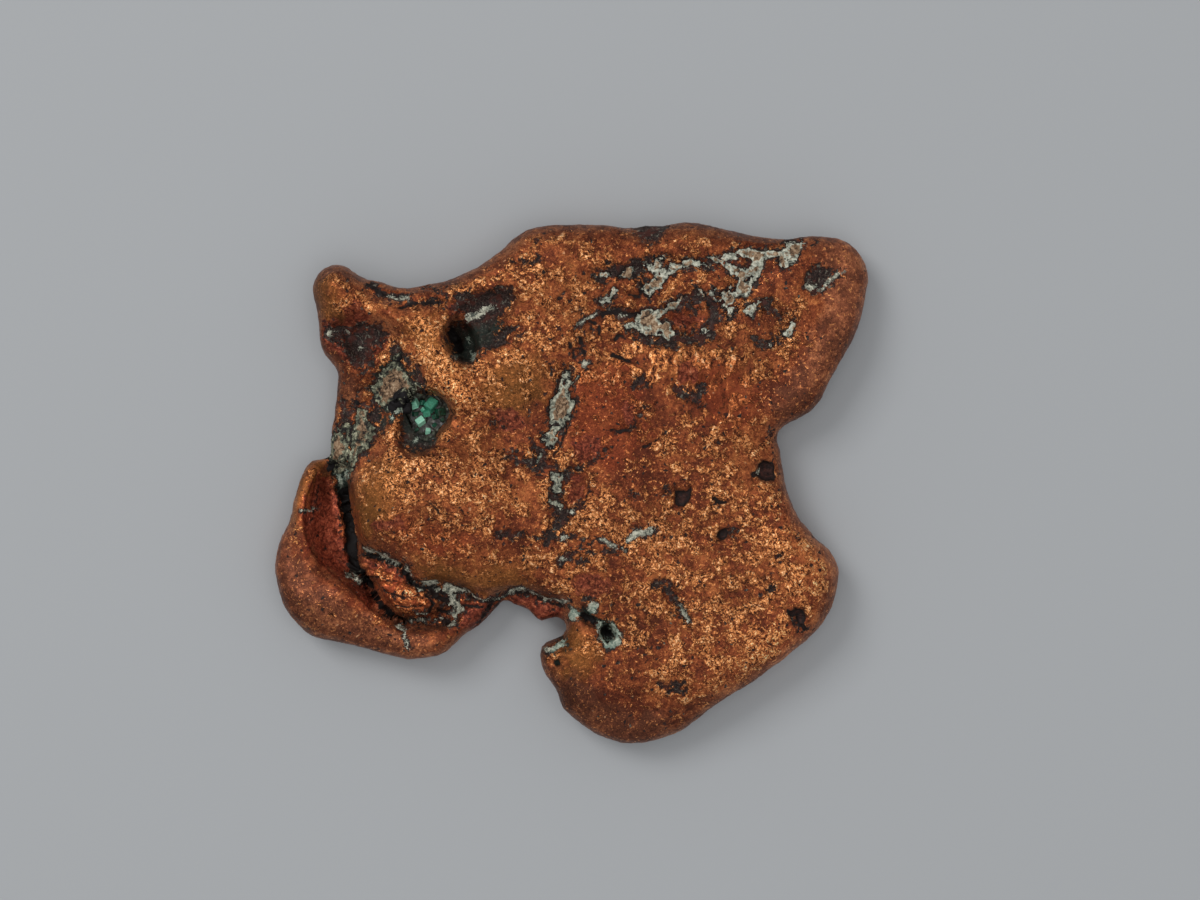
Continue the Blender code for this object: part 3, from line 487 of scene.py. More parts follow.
# %% Ruddy and chocolate oxide
RUDDY = [
    [(31.0, 47.4), (32.6, 48.0), (33.4, 50.0), (34.0, 53.0), (34.8, 57.0), (37.4, 60.0),
     (38.4, 61.6), (36.0, 60.4), (33.4, 57.8), (31.4, 55.2), (30.5, 52.6), (30.4, 49.8)],
    [(57.5, 37.5), (62.6, 36.2), (64.4, 40.0), (64.8, 44.0), (62.0, 47.2), (58.4, 46.8),
     (57.2, 44.0)],
    [(56.8, 47.6), (58.0, 47.1), (58.6, 48.6), (58.0, 50.4), (56.9, 50.2)],
    [(66.6, 31.4), (68.6, 31.2), (70.4, 31.2), (70.2, 32.6), (68.2, 33.0), (66.8, 32.6)],
    [(67.0, 36.4), (69.6, 35.6), (70.8, 37.2), (69.4, 38.6), (67.4, 38.0)],
    [(50.4, 59.6), (52.4, 59.3), (55.2, 60.0), (56.6, 61.6), (54.0, 62.2), (51.8, 61.0)],
    [(46.0, 60.6), (48.6, 59.9), (49.9, 60.1), (48.6, 62.0), (46.2, 63.4), (45.4, 62.6)],
    [(34.6, 30.0), (36.4, 30.2), (37.4, 31.6), (36.6, 32.4), (34.8, 32.2)],
    [(37.4, 56.4), (39.8, 57.0), (41.6, 58.8), (43.2, 60.2), (42.6, 61.4), (39.6, 60.9),
     (38.0, 59.0)],
    [(70.2, 35.6), (73.6, 36.4), (75.6, 39.4), (74.4, 43.4), (70.4, 42.0)],
    [(47.0, 53.6), (39.0, 51.0), (39.6, 54.0), (43.0, 55.6), (46.8, 55.8)],
]
# The slope inside the fold's lip.
FOLD_SLOPE = [
    (31.9, 47.2), (32.9, 48.0), (33.6, 49.3), (33.9, 52.0), (34.3, 54.7), (35.1, 57.1),
    (37.2, 58.9), (38.4, 61.2), (37.2, 60.8), (35.4, 58.9), (33.0, 57.0), (31.4, 55.2),
    (30.7, 53.4), (30.5, 51.6), (30.9, 49.4),
]
CHOCOLATE = [
    FOLD_SLOPE,
    [(32.2, 32.2), (33.6, 32.0), (35.6, 32.6), (38.4, 32.4), (39.2, 33.6), (38.6, 34.9),
     (37.4, 36.2), (36.6, 37.2), (35.0, 36.4), (33.2, 35.2), (32.4, 34.0)],
    [(45.0, 30.4), (46.6, 29.9), (48.6, 29.8), (49.4, 30.4), (48.0, 31.2), (46.2, 31.6),
     (45.2, 31.4)],
    [(49.0, 41.0), (51.4, 40.9), (52.6, 42.2), (51.6, 43.6), (49.6, 43.0)],
    [(56.9, 58.0), (59.4, 57.4), (61.6, 58.6), (60.0, 59.6), (57.6, 59.4)],
    [(34.4, 31.6), (35.2, 30.4), (36.2, 30.2), (36.4, 31.2), (37.4, 31.5), (37.2, 32.4),
     (36.2, 32.8), (35.0, 32.5)],
    [(46.4, 60.4), (48.6, 59.9), (49.8, 60.3), (48.8, 61.8), (47.2, 63.0), (46.0, 62.6)],
    [(36.2, 55.5), (38.2, 55.9), (40.2, 56.9), (41.0, 58.2), (40.2, 58.2), (38.6, 57.0),
     (36.6, 56.5)],
    [(50.2, 59.4), (51.4, 59.1), (52.6, 59.0), (54.2, 59.8), (55.8, 60.4), (56.4, 61.2),
     (55.0, 62.2), (53.8, 62.6), (53.0, 61.4), (51.6, 60.9)],
    [(67.2, 31.7), (69.8, 31.6), (70.4, 32.2), (69.0, 33.1), (67.4, 32.7)],
    [(57.0, 47.9), (57.8, 47.4), (58.4, 48.4), (58.2, 50.0), (57.3, 50.4), (56.8, 49.2)],
    [(57.4, 44.0), (59.2, 43.4), (60.4, 44.4), (59.4, 45.8), (57.6, 46.2)],
    [(67.6, 36.4), (69.2, 36.0), (70.0, 37.2), (69.2, 38.6), (67.8, 38.2)],
    [(62.2, 40.6), (63.4, 40.2), (63.6, 42.0), (62.6, 42.8)],
    [(37.6, 52.2), (40.4, 51.4), (40.8, 52.4), (38.4, 53.2)],
]
print(len(RUDDY), "ruddy and", len(CHOCOLATE), "chocolate patches")

# %% [markdown]
# Wear. Where water has rubbed the metal longest it is smooth, matt and brown. Some patches are
# given a gold colour: partly where the oxide is thinnest, partly a painted highlight on the knob,
# the ridge beside the hole and the crest of the fold. Below the upper vein it was combed into fine
# ridges. Green verdigris stains the ground round the pale mineral.

# %% Golden, worn, combed and green metal
# Gold-coloured patches: partly thin oxide, partly a painted highlight on the knob, the ridge beside
# the hole and the crest of the fold.
GOLDEN = [
    [(42.0, 31.6), (43.6, 32.4), (44.6, 34.2), (45.4, 36.6), (46.6, 38.4), (45.0, 38.8),
     (42.6, 36.0), (40.8, 33.0)],
    [(35.4, 50.0), (37.0, 46.6), (39.8, 45.6), (41.2, 47.6), (39.0, 51.6), (37.0, 54.0),
     (35.8, 53.0)],
    [(30.0, 47.6), (31.6, 46.0), (32.2, 46.8), (30.8, 49.6), (29.6, 52.2), (29.4, 50.4)],
    [(56.6, 62.4), (58.4, 62.8), (60.0, 65.4), (58.2, 67.6), (56.2, 66.6)],
    [(31.6, 28.2), (33.4, 28.6), (34.4, 30.6), (33.6, 32.2), (32.2, 31.6)],
    [(41.4, 56.0), (47.0, 56.8), (52.6, 56.6), (53.0, 58.6), (47.0, 58.8), (42.4, 58.0)],
    [(49.6, 36.2), (54.2, 35.0), (54.6, 40.0), (50.6, 42.0), (48.2, 39.4)],
]
# The fold's outer side, the end of the lower lobe, the wall by the left edge, and the right arm.
WORN = [
    [(29.6, 48.0), (29.0, 52.0), (27.6, 55.5), (28.4, 61.0), (31.4, 64.0), (36.0, 65.2),
     (42.0, 66.1), (45.4, 64.4), (42.6, 63.2), (38.6, 62.7), (35.0, 60.3), (31.6, 57.6),
     (30.0, 54.8), (29.8, 51.5), (30.4, 48.6)],
    [(55.0, 66.4), (58.0, 67.0), (60.0, 69.8), (63.6, 71.2), (67.6, 70.4), (67.0, 73.6),
     (63.3, 74.8), (58.5, 73.2), (55.6, 70.8)],
    [(33.4, 37.4), (35.4, 37.6), (36.8, 38.8), (36.2, 40.2), (34.6, 41.0), (33.2, 41.0)],
    [(80.4, 24.0), (86.4, 23.6), (87.0, 30.0), (84.6, 36.2), (80.8, 40.8), (77.4, 43.4),
     (76.6, 41.0), (80.2, 35.6), (82.2, 30.6), (82.0, 26.6)],
]
COMBED = [
    [(62.5, 34.4), (66.0, 34.6), (70.8, 34.8), (75.6, 35.2), (75.0, 39.6), (71.6, 42.2),
     (66.0, 41.6)],
]
VERDIGRIS = [
    [(59.6, 61.8), (61.6, 61.6), (62.4, 63.4), (61.8, 64.8), (60.2, 64.4)],
    [(56.8, 60.4), (58.2, 60.8), (59.8, 60.2), (60.0, 61.6), (58.0, 62.0), (56.8, 61.8)],
    [(37.4, 36.0), (40.2, 35.4), (41.6, 37.6), (41.0, 40.6), (39.4, 43.4), (38.0, 43.0),
     (38.4, 40.6)],
    [(46.0, 32.8), (48.2, 32.6), (50.2, 32.0), (50.4, 32.6), (48.6, 34.6), (46.6, 36.6),
     (45.2, 35.2), (45.2, 33.0)],
    [(40.3, 39.6), (43.0, 39.6), (44.9, 41.0), (43.9, 44.0), (41.5, 45.0), (40.3, 42.6)],
    [(55.4, 63.6), (57.4, 63.2), (57.0, 66.4), (55.2, 66.6)],
    [(32.6, 43.0), (35.4, 43.4), (35.4, 46.6), (35.0, 49.4), (34.2, 51.0), (33.4, 49.0),
     (32.8, 46.6)],
]
print(len(GOLDEN), "golden,", len(WORN), "worn and", len(VERDIGRIS), "green patches")

# %% [markdown]
# Between these marks the metal changes slowly, with no edge to follow. Such change is given by soft
# round spots, each a place, a radius and a share.

# %% Soft spots
# Where the metal is rough and fresh (above 0) or rubbed smooth (below 0).
FRESHNESS = [
    ((52.0, 28.5), 3.5, 0.5), ((42.5, 34.5), 2.4, 1.8), ((45.6, 38.2), 3.2, 2.6),
    ((51.5, 34.5), 2.2, 0.5), ((41.5, 46.5), 4.0, 1.2), ((47.5, 48.5), 3.5, 0.9),
    ((58.0, 50.5), 2.2, 1.2), ((62.0, 52.5), 3.0, 0.9), ((66.5, 56.0), 2.4, 1.1),
    ((70.0, 45.5), 3.5, -0.1), ((73.5, 50.0), 3.5, 0.1), ((71.6, 38.0), 2.8, -0.6),
    ((79.5, 56.5), 3.0, 1.2), ((75.5, 63.5), 3.0, 1.0), ((71.0, 62.5), 3.0, 0.5),
    ((65.5, 35.5), 2.0, 1.2), ((63.0, 29.8), 2.0, -0.7), ((55.5, 43.5), 1.6, 1.0),
    ((40.6, 60.0), 1.8, 1.9), ((38.2, 57.4), 1.4, -0.6), ((36.4, 30.2), 1.6, 1.6),
    ((69.5, 35.8), 1.8, 2.4), ((78.0, 34.6), 1.4, 1.6), ((66.0, 68.4), 1.6, 1.2),
    ((84.0, 32.0), 4.5, -2.0), ((79.5, 39.0), 3.5, -1.6), ((62.0, 72.0), 5.5, -2.0),
    ((57.5, 69.0), 3.0, -1.6), ((48.0, 57.6), 4.0, -1.2), ((51.0, 42.5), 2.5, -0.7),
    ((60.6, 42.5), 2.8, -2.0), ((63.5, 47.0), 3.0, -1.4), ((77.0, 27.6), 2.6, -2.2),
    ((66.0, 30.6), 2.0, -1.4), ((53.6, 41.4), 3.0, -2.0), ((69.0, 32.0), 1.4, -1.4),
    ((75.6, 32.6), 1.6, -1.4), ((30.0, 57.5), 4.0, -1.7), ((36.5, 62.5), 3.6, -1.5),
    ((43.5, 64.0), 3.0, -1.5), ((28.8, 51.0), 2.4, -1.6), ((69.0, 40.5), 2.2, -0.8),
    ((82.0, 25.0), 3.0, -1.6), ((72.0, 23.6), 3.6, -1.4), ((62.0, 24.4), 3.0, -1.0),
    ((34.8, 38.8), 2.0, -2.0), ((48.5, 61.5), 2.0, -1.4), ((54.0, 61.0), 2.6, -1.6),
    ((31.4, 31.2), 2.0, -1.4), ((32.6, 50.5), 1.8, -2.4), ((33.4, 54.5), 2.0, -2.4),
    ((36.0, 59.5), 1.4, -1.8), ((36.6, 51.0), 1.6, -1.2), ((41.6, 29.9), 1.8, -1.0),
    ((57.6, 65.6), 2.4, -1.0), ((50.5, 53.0), 2.2, -0.8),
]
# Spots that darken the metal's colour (below 0) or lighten it (above 0). The dark ones are a brown
# film; the light ones are partly scoured metal and partly painted light on faces the lamps leave
# dark: the fold's slope, the wedge, the right rims and the sides of the hole.
SHADES = [
    ((29.2, 55.0), 2.6, 0.14), ((38.6, 56.6), 1.8, 0.26), ((42.6, 64.2), 2.4, 0.2),
    ((32.6, 50.6), 2.0, 0.12), ((66.4, 32.2), 2.6, -0.25), ((58.2, 32.0), 2.4, -0.25),
    ((77.8, 31.8), 3.0, -0.4), ((74.6, 36.6), 2.8, -0.32), ((53.4, 38.8), 2.6, -0.3),
    ((48.6, 42.8), 3.8, -0.26), ((57.6, 48.4), 2.0, -0.3), ((42.6, 51.8), 2.6, -0.34),
    ((37.6, 50.6), 1.6, -0.1), ((65.6, 52.2), 3.4, -0.22), ((35.8, 38.6), 2.2, -0.26),
    ((33.6, 33.0), 2.0, -0.24), ((69.8, 25.2), 3.4, -0.16), ((57.0, 27.6), 2.8, -0.16),
    ((51.6, 57.4), 3.4, -0.26), ((63.0, 41.6), 3.0, -0.18), ((61.4, 61.4), 3.2, -0.24),
    ((63.6, 66.2), 2.6, -0.1), ((73.6, 45.0), 3.0, -0.2), ((74.0, 59.6), 2.0, -0.2),
    ((59.6, 57.6), 2.6, -0.14), ((37.4, 45.6), 2.0, -0.14), ((70.6, 33.6), 2.8, -0.26),
    ((64.0, 30.6), 2.4, -0.26), ((76.8, 55.4), 2.4, -0.16), ((66.0, 61.4), 2.8, -0.2),
    ((58.4, 34.4), 2.2, -0.18), ((72.4, 58.0), 2.0, -0.12), ((64.2, 42.4), 1.8, -0.1),
    ((52.4, 54.0), 1.8, -0.12), ((78.4, 40.0), 2.0, 0.16), ((40.4, 58.6), 1.8, 0.35),
    ((36.4, 30.0), 1.6, 0.2), ((78.6, 26.0), 2.4, -0.16), ((44.4, 45.2), 2.0, -0.24),
    ((31.4, 29.8), 2.2, -0.3), ((42.8, 33.8), 2.2, 0.2), ((57.0, 69.6), 2.6, -0.3),
    ((62.6, 72.4), 2.8, 0.08), ((84.6, 31.0), 3.2, 0.72), ((84.0, 25.4), 2.6, 0.56),
    ((82.0, 37.6), 3.0, 0.24), ((82.4, 56.8), 2.8, 0.5), ((78.6, 51.8), 2.6, 0.5),
    ((78.2, 64.2), 3.2, 0.5), ((78.0, 43.8), 2.2, 0.35), ((28.8, 55.4), 2.8, 0.38),
    ((28.6, 50.8), 2.0, 0.2), ((33.2, 51.6), 2.2, 0.42), ((33.2, 46.8), 1.8, 0.45),
    ((32.8, 51.6), 2.4, 0.64), ((33.4, 56.0), 2.4, 0.4), ((42.4, 56.2), 2.6, 0.2),
    ((31.0, 60.6), 2.8, -0.2), ((37.0, 63.2), 2.4, 0.1), ((31.6, 54.6), 1.4, 0.2),
    ((33.6, 58.4), 1.4, 0.2), ((46.2, 36.4), 2.4, 0.3), ((57.6, 62.6), 2.0, 0.3),
    ((45.6, 40.0), 2.4, 0.4), ((39.0, 59.2), 2.4, 0.6), ((50.0, 50.6), 2.6, 0.14),
    ((34.4, 36.4), 2.0, 0.14), ((73.2, 68.0), 2.6, 0.16), ((60.4, 73.0), 3.0, -0.05),
    ((47.6, 26.6), 2.4, 0.1), ((35.8, 47.6), 1.6, 0.2), ((41.6, 29.2), 2.0, 0.2),
]
print(len(FRESHNESS), "spots of wear,", len(SHADES), "of shade")

# %% [markdown]
# Carving. The fused form is smooth, so the marks are now cut into it: pits and cracks where the
# tarnish sits, deeper ones in the hole and the mouth of the fold, and the wrinkled grain that worn
# native copper has. Points move along the surface's own direction, which is what a sculptor's
# brush does, and operators have no brush that code can hold.

# %% Cracks
# On the open face and by the knob.
CRACKS = [
    ([(36.9, 28.5), (37.9, 29.3), (39.2, 29.9), (41.0, 29.7)], 0.16),
    ([(40.2, 31.0), (41.6, 30.5), (44.2, 30.4)], 0.15),
    ([(57.0, 41.4), (56.6, 43.0), (56.0, 44.6), (55.4, 45.6)], 0.1),
    ([(58.3, 60.6), (59.4, 61.6), (60.3, 62.2)], 0.16),
    ([(42.6, 49.8), (43.6, 50.4), (44.2, 51.4)], 0.07), ([(46.0, 50.6), (47.0, 51.6)], 0.07),
    ([(61.1, 43.1), (61.9, 43.2)], 0.1), ([(61.9, 43.2), (62.7, 43.1)], 0.17),
    ([(63.3, 42.8), (63.6, 42.2)], 0.12), ([(64.4, 44.7), (65.1, 44.4)], 0.16),
    ([(65.3, 44.2), (65.8, 43.8)], 0.1), ([(71.3, 49.7), (71.8, 50.1), (72.4, 50.2)], 0.2),
    ([(55.75, 66.1)], 0.3), ([(59.1, 32.3), (59.6, 32.5)], 0.16),
    ([(59.9, 32.9), (60.0, 33.5)], 0.15), ([(58.1, 34.0), (58.2, 34.5)], 0.2),
    ([(57.0, 34.4), (57.1, 34.9)], 0.18),
    ([(57.3, 35.9), (57.4, 35.2), (58.1, 34.9), (58.6, 35.6), (58.5, 36.2)], 0.1),
    ([(61.5, 34.2), (61.9, 33.6), (62.4, 33.9)], 0.14),
    ([(61.2, 35.6), (61.9, 35.9), (62.9, 36.2)], 0.2),
    ([(60.4, 31.5), (61.6, 31.3), (63.0, 31.6), (63.8, 31.4)], 0.24),
    ([(63.3, 27.6), (64.0, 28.2), (64.3, 29.4)], 0.14),
    ([(62.8, 29.6), (63.9, 29.9), (64.1, 29.0)], 0.12),
]
# Round the fold, the wedge and the ledge.
CRACKS += [
    ([(34.0, 47.3), (34.15, 48.4)], 0.3),
    ([(34.2, 48.8), (34.5, 51.4), (34.85, 53.6), (35.15, 56.4)], 0.5), (SEAM, 0.38),
    ([(40.2, 62.0), (42.0, 62.2), (43.6, 62.0), (45.0, 62.3)], 0.18),
    ([(36.1, 55.3), (37.6, 55.8), (39.2, 56.4), (40.0, 56.7)], 0.1),
    ([(40.1, 56.6), (40.9, 57.8), (41.9, 58.9)], 0.18),
    ([(41.6, 59.0), (43.0, 58.9), (44.4, 59.4), (46.2, 59.2)], 0.16),
    ([(42.6, 59.4), (43.4, 60.4), (42.8, 61.2)], 0.14),
    ([(37.2, 57.6), (38.4, 57.9), (39.8, 58.2)], 0.07),
    ([(38.6, 59.0), (39.8, 59.4), (41.2, 59.9)], 0.08),
    ([(39.6, 60.5), (41.0, 60.7), (42.2, 60.5)], 0.07),
    ([(43.4, 59.4), (44.2, 60.0), (45.2, 59.8)], 0.2),
    ([(43.8, 61.0), (44.8, 61.3), (45.4, 60.8)], 0.18),
    ([(44.6, 60.2), (45.6, 60.9), (46.6, 60.6), (48.4, 60.6)], 0.14),
    ([(49.2, 60.2), (48.6, 61.2), (48.0, 62.2)], 0.12),
    ([(46.8, 59.5), (48.6, 60.05), (50.0, 59.9)], 0.14),
    ([(50.0, 59.9), (51.2, 59.2), (52.6, 59.2), (54.2, 60.0), (56.2, 60.6)], 0.13),
    ([(31.9, 48.4), (31.6, 50.2), (31.2, 52.2)], 0.07),
]
print(len(CRACKS), "cracks")

# %% Pits, deep cuts and torn metal
# Shallow pits where a grain has fallen out: crisp edges and a brown floor.
PITS = [
    [(75.7, 46.5), (76.2, 46.1), (77.0, 46.2), (77.4, 46.7), (77.5, 47.3), (77.4, 48.0),
     (76.6, 48.1), (75.9, 48.0), (75.6, 47.5), (75.1, 47.6), (74.8, 47.3), (75.0, 47.0),
     (75.6, 47.0)],
    [(78.4, 60.8), (78.9, 60.9), (79.3, 60.6), (79.8, 60.7), (80.4, 61.4), (80.2, 61.9),
     (80.6, 62.6), (80.2, 63.0), (79.9, 62.4), (79.4, 62.1), (79.3, 61.4), (78.9, 61.7),
     (78.5, 61.3)],
    [(67.4, 49.1), (68.0, 49.1), (68.5, 49.1), (68.75, 48.7), (69.0, 48.7), (68.9, 49.3),
     (68.8, 50.1), (68.5, 50.6), (67.9, 50.6), (67.5, 50.2)],
    [(71.7, 53.0), (72.3, 52.7), (72.7, 52.9), (72.6, 53.6), (72.0, 53.9), (71.6, 53.5)],
]
# The hole, the mouth of the fold and its seams: path, half-width and depth.
DEEP = [
    ([(45.2, 33.2), (45.9, 34.7)], 0.45, 1.0), ([(60.6, 62.8), (60.9, 63.4)], 0.42, 1.0),
    ([(55.7, 66.1)], 0.22, 0.5), ([(58.4, 61.4), (59.6, 62.2)], 0.3, 0.6),
    ([(34.2, 49.1), (34.45, 50.6), (34.8, 52.0), (35.0, 53.6), (35.1, 55.2),
      (35.4, 57.0)], 0.42, 1.5),
    (SEAM, 0.18, 1.0), ([(40.4, 62.1), (43.0, 62.15), (45.6, 61.9)], 0.12, 0.5),
    ([(36.4, 55.2), (38.4, 56.0), (40.2, 56.6), (41.4, 58.4), (43.6, 58.8)], 0.14, 0.6),
]
# The wedge in the fold was torn, and shows thin broken sheets of metal.
TORN = [
    (36.2, 55.6), (38.4, 56.4), (40.8, 57.6), (43.4, 59.4), (43.6, 61.4), (40.4, 61.6),
    (37.6, 59.0), (36.0, 57.0),
]
print(len(PITS), "pits,", len(DEEP), "deep cuts")

# %% Carve the copper
FLOOR_LEFT = 0.5  # mm, the copper left under the deepest carving
MARK_DEPTH, SLOPE_DEPTH = 0.2, 0.35  # mm
GRAINS = ((0.06, 1.5, 8), (0.04, 0.6, 9), (0.03, 0.35, 10))  # mm high, mm long, noise seed
SHEET_WAVE = 4.2  # radians in a millimetre, so a torn sheet shows about every 0.75 mm

points = places(copper.data)
out = directions(copper.data)
# The underside and the foot of the walls keep their skin.
upper = step(points[:, 2], 1.2, 2.4) * step(out[:, 2], -0.1, 0.3)
dark = inside_ragged(points, DARK_STROKES, DARK_PATCHES)
dark = np.maximum(dark, inside_ragged(points, CRACKS, PITS, 0.4))
sunk = MARK_DEPTH * step(dark + 0.3 * lumps(points, 0.4, 3), -0.12, 0.2)
sunk += SLOPE_DEPTH * step(inside_marks(points, patches=[FOLD_SLOPE]), -0.15, 0.25)
for path, half, depth in DEEP:
    sunk += depth * step(inside_ragged(points, [(path, half)], wander=0.5), -0.25, 0.2)
grain = sum(high * lumps(points, length, seed) for high, length, seed in GRAINS)
torn = step(inside_marks(points, patches=[TORN]), -0.3, 0.4)
sheets = points[:, 1] - 0.35 * points[:, 0] + 0.5 * lumps(points, 1.2, 50)
grain += torn * (0.16 * np.abs(np.sin(sheets * SHEET_WAVE)) - 0.3 * np.abs(lumps(points, 0.8, 51)))
lowest = np.minimum(points[:, 2], FLOOR_LEFT)
points -= out * (upper * sunk - grain)[:, None]
points[:, 2] = np.maximum(points[:, 2], lowest)
put_back(copper.data, points)
print("carved", round(float(sunk.max()), 2), "mm at the deepest")

# %% [markdown]
# The mineral in the veins is cut from the same skin, so that it fits without a gap. Its patch is
# the copper's own surface a little wider than the vein, subdivided once for a ragged edge, sunk
# under the copper all round, and given a back. The copper is then hollowed under it. A Boolean
# would cut it free too, but with a clean edge, and the real edge is frayed.

# %% Tools for the mineral pieces
MARGIN = 1.0  # mm of skin kept round the vein
WALL_FOOT = 1.5  # mm; no vein reaches below this height


def vein_depth(points, strokes, patches, pores):
    """How far inside the vein each point is; copper shows through it in the pores."""
    found = inside_ragged(points, strokes, patches, wander=0.5)
    found = np.minimum(found, -inside_ragged(points, pores, wander=0.5))
    near = found > -MARGIN
    found[near] += 0.14 * lumps(points[near], 0.3, 12) + 0.1 * lumps(points[near], 0.15, 13)
    return found


def deepest_vein(points):
    return np.max([vein_depth(points, *marks) for marks in VEINS.values()], axis=0)


def cut_from_skin(name, near):
    """A piece made of the copper's skin at the vertices that are near, with finer faces."""
    form = bmesh.new()
    form.from_mesh(copper.data)
    away = [corner for corner, kept in zip(form.verts, near.tolist()) if not kept]
    bmesh.ops.delete(form, geom=away, context="VERTS")
    thing = bpy.data.objects.new(name, bpy.data.meshes.new(name))
    form.to_mesh(thing.data)
    form.free()
    bpy.context.scene.collection.objects.link(thing)
    modify(thing, "SUBSURF", levels=1, render_levels=1)
    return thing


# %% Cut the mineral pieces out of the skin
SINK = 0.08  # mm below the copper's skin inside the vein
BURIED = 0.6  # mm lower still outside it
BACK = 0.5  # mm thick
HOLLOW = 0.6  # mm of copper taken away under the vein
# How much green and black dirt lies in each.
STAINS = {
    "mineral_left_crust": 1.0, "mineral_middle_vein": 0.55, "mineral_pool": 0.3,
    "mineral_upper_vein": 0.15,
}

points = places(copper.data)
minerals = {}
for name, marks in VEINS.items():
    near = (inside_marks(points, *marks[:2]) > -MARGIN) & (points[:, 2] > WALL_FOOT)
    thing = cut_from_skin(name + "_finish", near)
    patch = places(thing.data)
    depth = vein_depth(patch, *marks)
    low = SINK + BURIED * (1 - step(depth, -0.4, 0.1)) - 0.05 * lumps(patch, 0.35, 21)
    put_back(thing.data, patch - directions(thing.data) * low[:, None])
    store(thing.data, "depth", depth)
    store(thing.data, "stain", np.full(len(patch), STAINS[name]))
    modify(thing, "SOLIDIFY", thickness=BACK * MM, offset=-1)
    minerals[name] = thing
    print(name, len(thing.data.polygons), "faces")
hollow = HOLLOW * step(deepest_vein(points), -0.14, 0.3)
put_back(copper.data, points - directions(copper.data) * hollow[:, None])

# %% [markdown]
# The copper now has far more faces than its flat parts need, so it is thinned where it bends least.
# The marks are then measured again on the thinned mesh and stored on its vertices, where the
# materials read them: a shader can make an edge sharper than any mesh if it knows how far away the
# edge is.

# %% Thin the copper
MOST_TRIANGLES = 190000

copper.data.calc_loop_triangles()
triangles = len(copper.data.loop_triangles)
if triangles > MOST_TRIANGLES:
    modify(copper, "DECIMATE", ratio=MOST_TRIANGLES / triangles)
copper.data.shade_smooth()
print("copper:", triangles, "triangles, thinned to", len(copper.data.polygons), "faces")

# %% Store the marks
DARK_FROM = 0.5  # mm; a cut deeper than this is too dark to see into
TARNISH_ROUND_VEIN, TARNISH_ROUND_COAT = 0.24, 0.18  # mm

points = places(copper.data)
out = directions(copper.data)
# The deepest cuts are painted near black below: painted shade where a cut is too deep to see into.
cuts = [(path, half) for path, half, cut in DEEP if cut > DARK_FROM]
deep = inside_ragged(points, cuts, wander=0.5)
dark = inside_ragged(points, DARK_STROKES, DARK_PATCHES)
dark = np.maximum(dark, deepest_vein(points) + TARNISH_ROUND_VEIN)
coat = inside_ragged(points, COATS, wander=0.6)
# The marks belong to the upper face, so the underside is told that it is far from all of them.
front = np.where((points[:, 2] > 2.0) | (out[:, 2] > 0.3) | (deep > -0.5), 0.0, -FAR)
for name, inside in {
    "tarnish": np.maximum(dark, coat + TARNISH_ROUND_COAT),
    "crack": inside_ragged(points, CRACKS, PITS, 0.4),
    "deep": deep,
    "coat": coat,
    "ruddy": inside_ragged(points, patches=RUDDY, wander=2.0),
    "chocolate": inside_ragged(points, patches=CHOCOLATE),
    # The gold patches, partly a painted highlight.
    "golden": inside_ragged(points, patches=GOLDEN, wander=2.0),
    "verdigris": inside_ragged(points, patches=VERDIGRIS),
}.items():
    store(copper.data, name, inside + front)
store(copper.data, "fresh", soft_spots(points, FRESHNESS))
# The shade spots are partly a brown film and partly painted light.
store(copper.data, "shade", soft_spots(points, SHADES))
store(copper.data, "combed", step(inside_marks(points, patches=COMBED), -1.0, 1.0))
worn = 0.7 * step(inside_ragged(points, patches=WORN, wander=2.0), -0.6, 0.9)
# Steep faces and worn patches take the rims' colour below, which is partly painted light.
store(copper.data, "steep", np.maximum(1 - step(out[:, 2], 0.45, 0.95), worn))
MARKS = [mark.name for mark in copper.data.attributes if mark.data_type == "FLOAT"]
print("marks:", MARKS)

# %% [markdown]
# Malachite. The crystals in the hollow are small green blocks with flat faces, a few of them large
# enough to catch the light, set in a dark crust. The crust is the solid's own, roughened and drawn
# out to the hollow's wall. Each crystal is a small block with a narrow bevel, turned its own way
# and half sunk in the crust. Scattering them by chance would be shorter, but the few bright ones
# are what the eye finds first, so each is placed.

# %% The malachite's crust
CRUST_MIDDLE, CRUST_HALVES = (42.6, 41.6), (2.3, 2.2)
CRUST_TOP = 4.3  # mm above the resting plane
CRUST_GAP = 0.26  # mm, enough to close the gap round it
CRUST_GRAIN = 0.12  # mm, the size of its mesh's cells
CLIMB = 0.9  # mm that it climbs the hollow's wall

crust = copies_joined("malachite_crust_finish", ["malachite_crust"])
modify(crust, "DISPLACE", strength=CRUST_GAP * MM, mid_level=0)
remesh(crust, CRUST_GRAIN)
points = places(crust.data)
# The solid's own crystals are pressed nearly flat, to make room for the sharper ones below.
points[:, 2] = np.minimum(points[:, 2], CRUST_TOP + 0.15 * (points[:, 2] - CRUST_TOP))
from_middle = points[:, :2] - CRUST_MIDDLE
rim = step(np.hypot(*(from_middle / CRUST_HALVES).T), 0.55, 1.15)
# The hollow has a wall on the right, which the crust reaches and climbs.
walled = step(points[:, 0], 40.8, 42.6)
points[:, :2] += from_middle * (0.03 + 0.13 * walled)[:, None]
points[:, 2] += CLIMB * walled * rim
rough = 0.16 * lumps(points, 0.7, 31) + 0.08 * lumps(points, 0.3, 32)
put_back(crust.data, points + directions(crust.data) * rough[:, None])
crust.data.shade_smooth()
store(crust.data, "crystal", np.zeros(len(points)))
print("crust:", len(points), "vertices")

# %% Its crystals
BLOCK = (1.0, 0.8, 0.9)  # the sides of a crystal for its width
